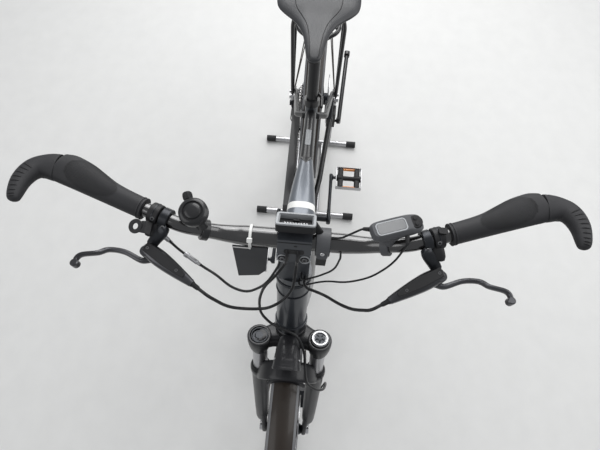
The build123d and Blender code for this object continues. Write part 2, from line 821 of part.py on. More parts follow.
with BuildPart() as rear_derailleur:
    with BuildSketch(side_plane(-rear_drop_side - 0.5)):
        with Locations((rear_axle.X + 2, rear_axle.Z - 33.6)):
            Rectangle(16, 22, rotation=8)
    extrude(amount=6)
    pivot = rear_axle + Vector(-6, 0, -42)
    arm_end = upper_pulley + Vector(1, 0, 2)
    add_rod(pivot - left * 66, pivot - left * 92, 11)
    add_bent_tube([pivot - left * 80, pivot + Vector(10, -76, -14), arm_end - left * 68], 9, [14])
    add_rod(arm_end - left * 82, arm_end + left * (chain_line - cage_side), 10)
    for sign in (1, -1):
        start = chain_line + sign * cage_side + (1.2 if sign > 0 else 0)
        with BuildSketch(side_plane(start)):
            with BuildLine():
                belt_outline([(upper_pulley.X, upper_pulley.Z, 9, 1), (lower_pulley.X, lower_pulley.Z, 9, 1)])
            make_face()
        extrude(amount=1.2)
    for pulley in (upper_pulley, lower_pulley):
        add_rod(pulley + left * (chain_line + cage_side + 0.1),
                pulley + left * (chain_line - cage_side - 0.1), 5)
        add_rod(pulley + left * (chain_line + 1), pulley + left * (chain_line - 1),
                pulley_radius - chain_half_height - 1)
save(rear_derailleur.part, "rear_derailleur")


caliper_inner = 9.0
caliper_outer = 20.0


def make_caliper(axle, side, angle, name, foot, clear_of):
    """A brake caliper with its slot round the rotor and a foot cut to the tube that carries it."""
    reach = rotor_radius - 6
    middle = polar(axle, reach, angle, side)
    turn = math.radians(angle)
    with BuildPart() as caliper:
        with BuildSketch(Plane(origin=middle, x_dir=(0, 1, 0), z_dir=(math.sin(turn), 0, -math.cos(turn)))):
            with Locations(((caliper_outer - caliper_inner) / 2, 4)):
                RectangleRounded(caliper_outer + caliper_inner, 44, 5)
            with Locations((0, -8)):
                Rectangle(rotor_thickness + 2.4, 44, mode=Mode.SUBTRACT)
        extrude(amount=26, both=True)
        add_rod(middle + left * 12, middle + left * 12 + foot, 6)
        add_rod(*clear_of, mode=Mode.SUBTRACT)
    save(caliper.part, name)


make_caliper(rear_axle, rear_rotor_side, 24, "rear_caliper", Vector(-2, 3, -46),
             (bracket + Vector(-150, 46, 13), rear_axle + Vector(stay_stop, stay_end_side - 1, -10),
              chainstay_radius + seat_gap))

# Kickstand leg, folded back along the left chainstay
with BuildPart() as kickstand_leg:
    add_rod(kick_pivot - kick_axis * 11, kick_pivot - kick_axis * -1, 12)
    add_rod(kick_pivot - kick_axis * 6, kick_pivot + kick_folded * kick_length - kick_axis * 6, kick_radius)
    add_rod(kick_pivot - kick_axis * 13, kick_pivot + kick_axis * 13, kick_pin_radius + fit_gap,
            mode=Mode.SUBTRACT)
    foot = kick_pivot + kick_folded * kick_length - kick_axis * 6
    with BuildSketch(Plane(origin=foot, z_dir=kick_folded)):
        RectangleRounded(30, 22, 8)
    extrude(amount=14)
save(kickstand_leg.part, "kickstand_leg")

# Display stand
stand_centre = stand_rubber_radius
stand_rail_radius = 7.0

with BuildPart() as stand_rubber_ends:
    for place in (stand_rear_at, stand_front_at):
        for sign in (1, -1):
            add_rod(at(place, sign * (stand_half_width - 42 + seat_gap), stand_centre),
                    at(place, sign * stand_half_width, stand_centre), stand_rubber_radius)
            add_rod(at(place, sign * (stand_half_width - 43), stand_centre),
                    at(place, sign * (stand_half_width - 3.9), stand_centre), stand_tube_radius - 0.95,
                    mode=Mode.SUBTRACT)
save(stand_rubber_ends.part, "stand_rubber_ends")

upright_radius = 7.0

with BuildPart() as stand_frame:
    for place in (stand_rear_at, stand_front_at):
        add_rod(at(place, stand_half_width - 42, stand_centre),
                at(place, -stand_half_width + 42, stand_centre),
                stand_tube_radius)
        for sign in (1, -1):
            add_rod(at(place, sign * (stand_half_width - 44), stand_centre),
                    at(place, sign * (stand_half_width - 4), stand_centre), stand_tube_radius - 1)
    for sign in (1, -1):
        add_rod(at(stand_rear_at, sign * stand_rail_side, stand_centre),
                at(stand_front_at, sign * stand_rail_side, stand_centre), stand_rail_radius)
        side = sign * upright_side
        add_bent_tube([at(stand_rear_at, side, stand_centre + 2),
                       at(stand_rear_at + 4, side, 120), at(-rear_reach - 22, side, rear_axle.Z - 12)],
                      upright_radius, [200])
        with BuildSketch(side_plane(side + 4)):
            with Locations((rear_axle.X, rear_axle.Z)):
                Circle(15)
                Circle(axle_radius + 0.05, mode=Mode.SUBTRACT)
            with Locations((rear_axle.X, rear_axle.Z + 12)):
                Rectangle(2 * axle_radius + 0.1, 24, mode=Mode.SUBTRACT)
            with Locations((rear_axle.X - 15, rear_axle.Z - 9)):
                Rectangle(20, 12, rotation=30)
        extrude(amount=8)
        with BuildSketch(side_plane(side + 5)):
            with Locations((rear_axle.X, rear_axle.Z)):
                Circle(axle_radius + 0.05)
        extrude(amount=10, mode=Mode.SUBTRACT)
save(stand_frame.part, "stand_frame")

# Crankset: spindle, two arms and the chainring
left_end = bracket + Vector(-crank_length, 0, 0)
right_end = bracket + Vector(crank_length, 0, 0)
pedal_axle_radius = 5.5
pedal_half_width = 48.0
pedal_middle = 153.0

with BuildPart() as cranks:
    add_rod(bracket + left * (crank_inner_face + 4), bracket - left * (crank_inner_face + 4), spindle_radius)
    for sign, end in ((1, left_end), (-1, right_end)):
        with BuildSketch(side_plane(crank_inner_face + crank_thickness if sign > 0 else -crank_inner_face)):
            with BuildLine():
                belt_outline([(bracket.X, bracket.Z, 19, 1), (end.X, end.Z, 13, 1)])
            make_face()
        extrude(amount=crank_thickness)
        add_rod(end + left * (sign * (crank_inner_face + 2)), end + left * (sign * (pedal_middle + 40)),
                pedal_axle_radius)
        add_rod(end + left * (sign * (crank_inner_face + 2)),
                end + left * (sign * (crank_inner_face + crank_thickness + 3)), 9)
    with BuildSketch(side_plane(chain_line + 1)):
        with Locations((bracket.X, bracket.Z)):
            Circle(chainring_radius + chain_half_height - chain_plate - 0.5)
            with PolarLocations(46, 5):
                Circle(11, mode=Mode.SUBTRACT)
    extrude(amount=2)
    with BuildSketch(side_plane(chain_line + 4)):
        with Locations((bracket.X, bracket.Z)):
            Circle(26)
    extrude(amount=14)
save(cranks.part, "cranks")

# Pedals: cage, core and reflectors turn on an axle fixed in the crank

def make_pedal(end, sign, name):
    with BuildPart() as pedal:
        with BuildSketch(Plane(origin=end + left * (sign * pedal_middle) - Vector(0, 0, 11), x_dir=(1, 0, 0),
                               z_dir=(0, 0, 1))):
            RectangleRounded(88, 2 * pedal_half_width, 14)
            with Locations((24, 0), (-24, 0)):
                RectangleRounded(26, 78, 6, mode=Mode.SUBTRACT)
        extrude(amount=22)
        add_rod(end + left * (sign * (pedal_middle - pedal_half_width - 2)),
                end + left * (sign * (pedal_middle + pedal_half_width - 5)), pedal_axle_radius + fit_gap,
                mode=Mode.SUBTRACT)
    save(pedal.part, name)


make_pedal(left_end, 1, "left_pedal")
make_pedal(right_end, -1, "right_pedal")

# Suspension fork
crown_top = fork_length - 12
crown_race = fork_length - 1
crown_bottom = fork_length - 52
crown_front = 36.0
lower_top = tyre_outer_radius - 31
arch_top = mudguard_radius + 18
arch_reach = 60.0
steerer_top = head_tube_end + cup_height + 113
stanchion_side = stanchion_spacing / 2
crown_end_radius = 25.0

with BuildPart() as fork_crown:
    add_rod(on_fork(crown_bottom + 4), on_fork(steerer_top), steerer_radius)
    with BuildSketch(across_fork(crown_bottom)):
        with Locations((crown_front - 28, 0)):
            RectangleRounded(56, 60, 12)
        for sign in (1, -1):
            with Locations((stanchion_ahead, sign * stanchion_side)):
                Circle(crown_end_radius)
            with BuildLine():
                Polyline((-16, sign * 28), (crown_front, sign * 28),
                         (stanchion_ahead + 23, sign * (stanchion_side - 10)),
                         (stanchion_ahead - 20, sign * (stanchion_side + 10)), close=True)
            make_face()
    extrude(amount=crown_top - crown_bottom)
    with BuildSketch(across_fork(crown_top)):
        Circle(24)
    extrude(amount=crown_race - crown_top)
    for sign in (1, -1):
        with BuildSketch(across_fork(crown_bottom - 1)):
            with Locations((stanchion_ahead, sign * stanchion_side)):
                Circle(stanchion_radius + 0.02)
        extrude(amount=crown_top - crown_bottom - 7, mode=Mode.SUBTRACT)
        with BuildSketch(across_fork(crown_top - 10)):
            with Locations((stanchion_ahead, sign * stanchion_side)):
                Circle(19)
        extrude(amount=20, mode=Mode.SUBTRACT)
save(fork_crown.part, "fork_crown")

with BuildPart() as stanchions:
    for sign in (1, -1):
        add_rod(on_fork(lower_top - 60, stanchion_ahead, sign * stanchion_side),
                on_fork(crown_top - 8.5, stanchion_ahead, sign * stanchion_side), stanchion_radius)
save(stanchions.part, "stanchions")

with BuildPart() as fork_caps:
    for side, height in ((stanchion_side, 16), (-stanchion_side, 8)):
        with BuildSketch(across_fork(crown_top - 8.2, stanchion_ahead, side)):
            Circle(18.5)
        extrude(amount=height - 3)
        with BuildSketch(across_fork(crown_top - 11.2 + height, stanchion_ahead, side)):
            Circle(18.5)
        extrude(amount=3, taper=30)
save(fork_caps.part, "fork_caps")

with BuildPart() as fork_lowers:
    for sign in (1, -1):
        side = sign * stanchion_side
        add_rod(on_fork(40, stanchion_ahead, side), on_fork(lower_top, stanchion_ahead, side),
                lower_leg_radius)
        add_rod(on_fork(lower_top - 12, stanchion_ahead, side), on_fork(lower_top, stanchion_ahead, side),
                lower_leg_radius + 2)
        with BuildSketch(beside_fork(sign * (front_drop_side + 4) + 5)):
            with BuildLine():
                Polyline((stanchion_ahead - 16, 70), (stanchion_ahead + 16, 70), (fork_rake + 14, 8),
                         (fork_rake + 6, -16), (fork_rake - 12, -16), (fork_rake - 16, 8), close=True)
            make_face()
        extrude(amount=10)
    with BuildSketch(beside_fork(stanchion_side + 10)):
        with BuildLine():
            Polyline((stanchion_ahead + 17, lower_top - 46), (stanchion_ahead + 30, lower_top - 46),
                     (stanchion_ahead + arch_reach, arch_top - 18),
                     (stanchion_ahead + arch_reach - 3, arch_top - 10), (stanchion_ahead + 22, arch_top),
                     (stanchion_ahead + 17, arch_top - 8), close=True)
        make_face()
    extrude(amount=2 * stanchion_side + 20)
    with BuildSketch(across_fork(lower_top - 80)):
        with Locations((stanchion_ahead + 30, 0)):
            RectangleRounded(90, 2 * (stanchion_side - lower_leg_radius + 0.5), 20)
    extrude(amount=mudguard_radius + 2 * seat_gap - (lower_top - 80), mode=Mode.SUBTRACT)
    for sign in (1, -1):
        add_rod(on_fork(lower_top - 62, stanchion_ahead, sign * stanchion_side),
                on_fork(arch_top + 5, stanchion_ahead, sign * stanchion_side), stanchion_radius + 0.05,
                mode=Mode.SUBTRACT)
    add_rod(front_axle + left * 90, front_axle - left * 90, axle_radius + axle_seat, mode=Mode.SUBTRACT)
save(fork_lowers.part, "fork_lowers")

with BuildPart() as front_axle_bar:
    outer = front_drop_side + 9
    add_rod(front_axle + left * outer, front_axle - left * outer, axle_radius)
    for sign in (1, -1):
        add_rod(front_axle + left * (sign * (outer + 0.1)), front_axle + left * (sign * (outer + 8)), 11)
        add_rod(front_axle + left * (sign * (outer - 1)), front_axle + left * (sign * (outer + 1)),
                axle_radius)
save(front_axle_bar.part, "front_axle")

make_caliper(front_axle, front_rotor_side, 160, "front_caliper", Vector(30, 6, 12),
             (on_fork(0, stanchion_ahead, stanchion_side), on_fork(200, stanchion_ahead, stanchion_side),
              lower_leg_radius + seat_gap))

light_along = crown_race
light_rear = head_tube_radius + 8
light_length = 60.0

with BuildPart() as headlight:
    with BuildSketch(Plane(origin=on_fork(light_along, light_rear), x_dir=left, z_dir=steer_front)):
        RectangleRounded(40, 40, 18)
    with BuildSketch(Plane(origin=on_fork(light_along, light_rear + light_length), x_dir=left,
                           z_dir=steer_front)):
        RectangleRounded(56, 50, 18)
    loft()
    with BuildSketch(across_fork(crown_top - 14)):
        with Locations((crown_front + seat_gap, 0)):
            Rectangle(12, 24, align=(Align.MIN, Align.CENTER))
    extrude(amount=13)
save(headlight.part, "headlight")

# Stem, faceplate and the display's empty cradle
bar_middle = at(bar_ahead, 0, bar_height)
stem_start = head_tube_end + cup_height
bar_along = (bar_middle - steer_foot).dot(steer_up)
bar_forward = (bar_middle - steer_foot).dot(steer_front)
stem_half_width = 26.0

with BuildPart() as stem:
    with BuildSketch(across_fork(stem_start)):
        Circle(head_tube_radius + 1)
    extrude(amount=12)
    with BuildSketch(beside_fork(stem_half_width)):
        with BuildLine():
            Polyline((-22, stem_start + 12.3), (26, stem_start + 12.3), (bar_forward + 4, bar_along - 10),
                     (bar_forward, bar_along + 22), (-12, steerer_top + 4), (-22, steerer_top - 8),
                     close=True)
        make_face()
    extrude(amount=2 * stem_half_width)
    add_rod(bar_middle + left * 40, bar_middle - left * 40, bar_radius + 0.05, mode=Mode.SUBTRACT)
    add_rod(on_fork(stem_start - 1), on_fork(steerer_top + 0.1), steerer_radius + 0.02, mode=Mode.SUBTRACT)
    with BuildSketch(Plane(origin=bar_middle, x_dir=(0, 1, 0), z_dir=steer_front)):
        Rectangle(80, 80)
    extrude(amount=60, mode=Mode.SUBTRACT)
save(stem.part, "stem")

with BuildPart() as stem_faceplate:
    with BuildSketch(beside_fork(stem_half_width)):
        with Locations((bar_forward + 1, bar_along)):
            Rectangle(24, 46, align=(Align.MIN, Align.CENTER))
    extrude(amount=2 * stem_half_width)
    add_rod(bar_middle + left * 40, bar_middle - left * 40, bar_radius + 0.05, mode=Mode.SUBTRACT)
save(stem_faceplate.part, "stem_faceplate")


def near_bar(ahead, side, up):
    """Gives a point by its distance from the bar's middle."""
    return bar_middle + Vector(ahead, side, up)


bar_half_route = [bar_middle, near_bar(0, 104, 0), near_bar(8, 166, 33), near_bar(-56, 363, 55)]
bar_bends = [80, 60]


def mirrored(point, sign):
    return Vector(point.X, sign * point.Y, point.Z)


thick_half = 76.0
taper_end = 136.0
sections_per_bend = 4


def bar_radius_at(side):
    """The bar's radius: thick in the middle and tapering to the grips."""
    share = (abs(side) - thick_half) / (taper_end - thick_half)
    return bar_radius + (bar_end_radius - bar_radius) * max(0.0, min(1.0, share))


with BuildPart() as handlebar:
    with BuildLine(mode=Mode.PRIVATE) as half_bar:
        FilletPolyline(*bar_half_route, radius=bar_bends)
    centre_line = half_bar.wires()[0]
    travelled = 0.0
    lengths = [0.0, thick_half]
    for edge in centre_line.order_edges():
        steps = sections_per_bend if edge.geom_type == GeomType.CIRCLE else 1
        for i in range(steps):
            travelled += edge.length / steps
            lengths.append(travelled)
    for length in lengths:
        share = min(1.0, length / centre_line.length)
        place = centre_line @ share
        with BuildSketch(Plane(origin=place, z_dir=centre_line % share)):
            Circle(bar_radius_at(place.Y))
    loft(ruled=True)
    mirror(about=Plane.XZ)
save(handlebar.part, "handlebar")

# Grips with a palm rest that grows towards the outer end, and short horns beyond them
grip_outer = bar_half_route[-1]
grip_way = (bar_half_route[-1] - bar_half_route[-2]).normalized()
grip_length = 146.0
grip_inner = grip_outer - grip_way * grip_length
grip_sections = (
    # share of the length, reach to the rear, reach to the front, half thickness
    (0.0, 15.5, 15.5, 15.5),
    (0.12, 16.5, 16.0, 16.0),
    (0.40, 20.0, 16.0, 15.8),
    (0.70, 31.0, 16.5, 14.5),
    (0.92, 33.0, 17.0, 14.0),
    (1.0, 29.0, 17.0, 14.0),
)
horn_sections = (
    # outward and forward from the end of the grip, rise, half width, half thickness
    (-0.98, -4.0, 0.0, 22.0, 14.0),
    (18.0, -3.0, 2.0, 19.0, 14.0),
    (32.0, 6.0, 6.0, 16.0, 13.5),
    (38.0, 24.0, 10.0, 14.0, 12.5),
    (37.0, 46.0, 14.0, 11.5, 10.5),
    (34.0, 62.0, 15.0, 8.0, 8.0),
)


def add_sections(sections):
    """Joins ellipses in a row, each given as centre, direction, long axis and two half widths."""
    faces = []
    for centre, heading, across, half, thick in sections:
        with BuildSketch(Plane(origin=centre, x_dir=across, z_dir=heading)) as section:
            Ellipse(half, thick)
        faces.append(section.sketch)
    loft(faces, ruled=True)


with BuildPart() as grips:
    rear = (Vector(-1, 0, 0) + grip_way * grip_way.X).normalized()
    rows = []
    for share, back, front, thick in grip_sections:
        centre = grip_inner + grip_way * (share * grip_length) + rear * ((back - front) / 2)
        rows.append((centre, grip_way, rear, (back + front) / 2, thick))
    add_sections(rows)
    add_rod(grip_inner, grip_outer, bar_end_radius + 0.1, mode=Mode.SUBTRACT)
    mirror(about=Plane.XZ)
save(grips.part, "grips")

with BuildPart() as bar_ends:
    places = [grip_outer + Vector(forward, outward, rise)
              for outward, forward, rise, half, thick in horn_sections]
    rows = []
    for i, (outward, forward, rise, half, thick) in enumerate(horn_sections):
        after = places[min(i + 1, len(places) - 1)]
        heading = (after - places[i - 1]).normalized() if i else grip_way
        rows.append((places[i], heading, heading.cross(Vector(0, 0, 1)), half, thick))
    add_sections(rows)
    mirror(about=Plane.XZ)
save(bar_ends.part, "bar_ends")

# Brake lever bodies with their clamps, and the lever blades


def on_bar(side):
    """A point on the straight outer part of the bar."""
    return grip_outer - grip_way * ((grip_outer.Y - side) / grip_way.Y)


lever_clamp = on_bar(191)
reservoir_inner = near_bar(84, 145, 2)
lever_pin = near_bar(44, 212, 14)
lever_tip = near_bar(66, 318, 10)


nipple = (reservoir_inner - lever_pin).normalized() * 12


with BuildPart() as lever_bodies:
    add_rod(lever_clamp - grip_way * 6, lever_clamp + grip_way * 6, 16)
    add_bent_tube([lever_clamp + Vector(12, 0, -2), lever_pin + Vector(-6, 0, 2),
                   lever_pin + Vector(0, -12, 0)],
                  8, [8])
    add_rod(lever_pin + Vector(-4, 8, 1), reservoir_inner, 9.5)
    add_rod(reservoir_inner, reservoir_inner + nipple, 4.5)
    add_rod(lever_clamp - grip_way * 30, lever_clamp + grip_way * 30, bar_end_radius + 0.1,
            mode=Mode.SUBTRACT)
    mirror(about=Plane.XZ)
save(lever_bodies.part, "lever_bodies")

with BuildPart() as lever_blades:
    pin = lever_pin + Vector(6, 0, -17)
    add_bent_tube([pin + Vector(0, -18, 0), pin + Vector(4, 14, 0), pin + Vector(-2, 70, 4),
                   lever_tip + Vector(-10, -8, 0), lever_tip + Vector(6, 0, 0)], 4.5)
    mirror(about=Plane.XZ)
save(lever_blades.part, "lever_blades")

# Shifter and bell on the right, display and small lever on the left
with BuildPart() as bar_controls:
    middle = mirrored(on_bar(213), -1)
    way = mirrored(grip_way, -1)
    add_rod(middle - way * 5, middle + way * 5, 15.5)
    with BuildSketch(Plane(origin=middle + Vector(12, -16, -17), x_dir=(0, 1, 0), z_dir=(0, 0, -1))):
        RectangleRounded(44, 40, 12)
    extrude(amount=16)
    add_rod(middle + Vector(12, 0, -9), middle + Vector(16, 4, -22), 8)
    add_bent_tube([middle + Vector(10, -4, -27), middle + Vector(0, -30, -26),
                   middle + Vector(-6, -44, -22)], 5)
    add_rod(middle - way * 30, middle + way * 30, bar_end_radius + 0.1, mode=Mode.SUBTRACT)
    middle = on_bar(213)
    add_rod(middle - grip_way * 5, middle + grip_way * 5, 15.5)
    add_rod(middle + Vector(8, 0, 12), middle + Vector(-8, 6, 22), 5)
    add_rod(middle - grip_way * 10, middle + grip_way * 10, bar_end_radius + 0.1, mode=Mode.SUBTRACT)
save(bar_controls.part, "bar_controls")

bell_radius = 21.0
riser_way = (bar_half_route[2] - bar_half_route[1]).normalized()


def on_riser(side):
    """A point on the rising part of the bar."""
    return bar_half_route[1] + riser_way * ((side - bar_half_route[1].Y) / riser_way.Y)


riser_clamp = on_riser(137)
riser_hole = bar_radius_at(137 - 8) + 0.6
bell_middle = mirrored(riser_clamp, -1) + Vector(-6, -8, 40)

with BuildPart() as bell:
    with BuildSketch(Plane(origin=bell_middle, x_dir=(1, 0, 0), z_dir=(0.12, 0, 1))):
        Circle(bell_radius)
    extrude(amount=16)
    chamfer(bell.edges().filter_by(GeomType.CIRCLE).sort_by(Axis.Z)[-1], 7)
    way = mirrored(riser_way, -1)
    clamp = mirrored(riser_clamp, -1)
    add_rod(clamp - way * 5, clamp + way * 5, 16)
    add_rod(clamp + Vector(0, 0, 12), bell_middle + Vector(0, 0, 2), 7)
    add_rod(bell_middle + Vector(-16, -10, -1), bell_middle + Vector(-26, -14, 4), 7)
    add_rod(clamp - way * 30, clamp + way * 30, riser_hole, mode=Mode.SUBTRACT)
save(bell.part, "bell")

with BuildPart() as display:
    with BuildSketch(Plane(origin=near_bar(-10, 143, 46), x_dir=(0, 1, 0), z_dir=(0, 0, 1))):
        RectangleRounded(72, 34, 10)
    extrude(amount=18)
    clamp = riser_clamp
    add_rod(clamp - riser_way * 6, clamp + riser_way * 6, 16)
    add_rod(clamp, clamp + Vector(-6, 6, 32), 8)
    add_rod(clamp - riser_way * 50, clamp + riser_way * 50, riser_hole, mode=Mode.SUBTRACT)
save(display.part, "display")

# The cradle for a removable display faces the rider, on a clamp beside the stem.
cradle_place = Plane(origin=near_bar(-6, 0, 34), x_dir=(0, 1, 0), z_dir=(-0.5, 0, 0.866))
cradle_width = 59.0
cradle_depth = 32.0
cradle_height = 14.0
cradle_floor = 5.0
cradle_wall = 4.0
mount_ring_side = 43.0

with BuildPart() as display_mount:
    ring = near_bar(0, mount_ring_side, 0)
    add_rod(ring - left * 11, ring + left * 11, 22)
    with BuildSketch(cradle_place):
        RectangleRounded(cradle_width, cradle_depth, 5)
    extrude(amount=cradle_height)
    with BuildSketch(cradle_place.offset(cradle_floor)):
        RectangleRounded(cradle_width - 2 * cradle_wall, cradle_depth - 2 * cradle_wall, 2)
    extrude(amount=cradle_height, mode=Mode.SUBTRACT)
    add_rod(ring + Vector(-6, -4, 14), near_bar(-12, cradle_width / 2 - 3, 34), 6)
    with BuildSketch(Plane(origin=ring + Vector(16, 0, -10), x_dir=(0, 1, 0), z_dir=(1, 0, 0))):
        Rectangle(16, 40, align=(Align.CENTER, Align.MAX))
    extrude(amount=5)
    add_rod(ring - left * 20, ring + left * 20, bar_radius + 0.05, mode=Mode.SUBTRACT)
save(display_mount.part, "display_mount")

# Hang tag on a tie round the bar
with BuildPart() as hang_tag:
    tie = bar_middle - left * 68
    add_rod(tie - left * 2, tie + left * 2, bar_radius + 1.8)
    with BuildSketch(Plane(origin=tie + Vector(15.5, 6, -8), x_dir=(0, 1, 0), z_dir=(0.94, 0, 0.34))):
        with BuildLine():
            Polyline((-34, 2), (22, 2), (18, -52), (6, -66), (-28, -72), close=True)
        make_face()
    extrude(amount=2)
    add_rod(tie - left * 34, tie + left * 34, bar_radius + 0.05, mode=Mode.SUBTRACT)
save(hang_tag.part, "hang_tag")

# Hoses and cables that run from the bar into the stem, the head tube cover and down the fork
hose_radius = 2.5
cable_radius = 2.0
lead_radius = 1.6
plate_foot = bar_along - 23 - seat_gap
stem_lean = (bar_forward + 4 - 26) / (bar_along - 10 - stem_start - 12.3)


def stem_entry(along, side, before=0.0):
    """A point just ahead of the stem's front face, or further ahead by a distance."""
    return on_fork(along, 26 + stem_lean * (along - stem_start - 12.3) + 2 * seat_gap + before, side)


shift_route = [near_bar(16, -206.6, 12), near_bar(16, -198, 12), near_bar(28, -180, -8),
               near_bar(55, -134, -6),
               near_bar(66, -112, -4), near_bar(80, -90, -14), near_bar(82, -66, -30), near_bar(62, -40, -46),
               on_fork(plate_foot - 20, 50, -22), on_fork(plate_foot, 50, -22)]
lever_hose_start = reservoir_inner + nipple * 1.02
right_brake_route = [mirrored(lever_hose_start, -1), mirrored(lever_hose_start + nipple * 1.6, -1),
                     near_bar(104, -94, -42), near_bar(98, -64, -68), near_bar(90, -36, -86),
                     near_bar(76, -14, -86), near_bar(60, 2, -68), on_fork(plate_foot - 20, 50, 5),
                     on_fork(plate_foot, 50, 5)]
left_brake_route = [lever_hose_start, lever_hose_start + nipple * 1.6, near_bar(92, 96, -38),
                    near_bar(78, 76, -62), near_bar(58, 54, -88), stem_entry(655, 20, 22),
                    stem_entry(655, 20)]
front_brake_route = [on_fork(plate_foot, 50, -13), on_fork(plate_foot - 18, 50, -13), on_fork(682, 53, -28),
                     on_fork(646, 50, -48), on_fork(599, 46, -58), on_fork(550, 41, -56),
                     on_fork(519, 42, -36),
                     on_fork(511, 48, -8), on_fork(500, 52, 16), on_fork(469, 66, 32), on_fork(428, 93, 37),
                     on_fork(394, 98, 44), on_fork(368, 96, 64), on_fork(346, 84, 80), on_fork(316, 58, 87),
                     on_fork(280, 36, 89), on_fork(225, 20, 87), on_fork(167, 6, 80), on_fork(131, 2, 68),
                     on_fork(95, 2, 54),
                     on_fork(75, -2, 50)]
display_route = [near_bar(7.4, 160, 53), near_bar(15, 160, 53), near_bar(28, 150, 6), near_bar(38, 123, -40),
                 near_bar(40, 87, -70), near_bar(33, 55, -90), stem_entry(647, 11, 16), stem_entry(647, 11)]
bar_cable_route = [near_bar(16.6, 71, 0), near_bar(24, 71, 0), near_bar(30, 66, -40), near_bar(32, 40, -75),
                   stem_entry(666, 14, 16), stem_entry(666, 14)]
display_lead_route = [near_bar(-3, 106.6, 53), near_bar(-3, 96, 53), near_bar(0, 70, 21),
                      near_bar(0, 62, 19.5), near_bar(0, 54.4, 19.5)]

with BuildPart() as bar_hoses:
    for route in (right_brake_route, left_brake_route, front_brake_route):
        add_bent_tube(route, hose_radius)
    add_bent_tube(shift_route, cable_radius)
    for route in (display_route, bar_cable_route, display_lead_route):
        add_bent_tube(route, lead_radius)
save(bar_hoses.part, "bar_hoses")

# The rear brake's hose and the gear cable leave the motor unit and follow the chainstays.
motor_rear_face = -78.0
hose_end_gap = 0.7
hose_seat = motor_rear_face - seat_gap + hose_end_gap
rear_brake_route = [bracket + Vector(hose_seat, 34, 12), bracket + Vector(-100, 37.7, 16),
                    bracket + Vector(-150, 46, 27), rear_axle + Vector(140, 61.7, -18.5),
                    rear_axle + Vector(108, 63, -8), rear_axle + Vector(88.4, 60, 8)]
gear_route = [bracket + Vector(hose_seat, -34, 12), bracket + Vector(-100, -37.7, 16),
              bracket + Vector(-150, -46, 27), rear_axle + Vector(130, -62.6, -16.5),
              rear_axle + Vector(110, -72, -11), rear_axle + Vector(94, -79.5, -17),
              rear_axle + Vector(30, -81, -37), rear_axle + Vector(5.4, -80, -41)]

with BuildPart() as frame_hoses:
    add_bent_tube(rear_brake_route, hose_radius)
    add_bent_tube(gear_route, cable_radius)
save(frame_hoses.part, "frame_hoses")
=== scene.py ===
# %% [markdown]
# # Dressing an electric bicycle that stands in a display stand
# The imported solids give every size, and this lesson gives them their looks: paint, rubber, metal and
# the small forms that a solid leaves out. Each new piece is drawn in millimetres in the bicycle's own
# frame, with X forward, Y to the rider's left and Z up, and is turned into metres when it is made.

import math

import bpy
from mathutils import Matrix, Vector


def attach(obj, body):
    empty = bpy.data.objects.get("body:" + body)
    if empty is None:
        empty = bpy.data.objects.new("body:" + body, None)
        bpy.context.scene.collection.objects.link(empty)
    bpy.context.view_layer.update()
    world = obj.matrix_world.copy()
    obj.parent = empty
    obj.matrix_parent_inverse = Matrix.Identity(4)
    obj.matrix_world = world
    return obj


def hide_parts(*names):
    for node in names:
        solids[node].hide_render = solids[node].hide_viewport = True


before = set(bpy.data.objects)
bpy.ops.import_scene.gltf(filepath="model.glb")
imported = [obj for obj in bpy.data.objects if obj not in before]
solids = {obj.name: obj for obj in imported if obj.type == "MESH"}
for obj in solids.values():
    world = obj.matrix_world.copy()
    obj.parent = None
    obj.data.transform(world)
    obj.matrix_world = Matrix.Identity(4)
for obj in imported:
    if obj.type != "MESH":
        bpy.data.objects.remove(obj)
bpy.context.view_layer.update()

# %% [markdown]
# ## Places on the bicycle
# The solids were drawn from a few lines: the steering line, the bar's middle and the two axles.
# The same lines are written here once, so that a bolt or a seam lands where its solid is.

# %% Lines and places, in millimetres
MM = 0.001
bracket_x = -99.5
front_axle = Vector((576.5, 0.0, 357.0))
rear_axle = Vector((-559.5, 0.0, 392.0))
bracket = Vector((bracket_x, 0.0, 305.0))
head_angle, seat_angle, fork_rake = math.radians(70), math.radians(73.1), 45.0
steer_up = Vector((-math.cos(head_angle), 0.0, math.sin(head_angle)))
steer_front = Vector((math.sin(head_angle), 0.0, math.cos(head_angle)))
steer_foot = front_axle - steer_front * fork_rake
seat_up = Vector((-math.cos(seat_angle), 0.0, math.sin(seat_angle)))
leg_ahead, leg_side = 28.5, 62.0  # the fork's legs stand ahead of the steering line and beside it
bar_middle = Vector((bracket_x + 408.0, 0.0, 1060.0))
left = Vector((0.0, 1.0, 0.0))
up = Vector((0.0, 0.0, 1.0))
ahead = Vector((1.0, 0.0, 0.0))


def at(x, y, z):
    """A point by its distance ahead of the bottom bracket."""
    return Vector((bracket_x + x, y, z))


def near_bar(x, y, z):
    """A point by its distance from the bar's middle."""
    return bar_middle + Vector((x, y, z))


def on_fork(along, front=0.0, side=0.0):
    """A point by its place along the steering line, ahead of it and to its left."""
    return steer_foot + steer_up * along + steer_front * front + left * side


def polar(axle, radius, angle, side=0.0):
    """A point round an axle: angle 0 is forward and 90 is up."""
    turn = math.radians(angle)
    return axle + Vector((radius * math.cos(turn), side, radius * math.sin(turn)))


def tangent(axle, angle):
    """The direction in which a point round an axle moves as its angle grows."""
    return polar(axle, 1, angle + 90) - axle


def mirrored(point):
    """The same place or direction on the other side of the bicycle."""
    return Vector((point.x, -point.y, point.z))


print("front axle", tuple(front_axle), "bar", tuple(bar_middle))

# %% [markdown]
# ## Camera
# The photograph looks steeply down over the handlebar towards the saddle. Its place and turn were
# found by fitting the known sizes of a bicycle to the picture, and the lens follows from the same fit.

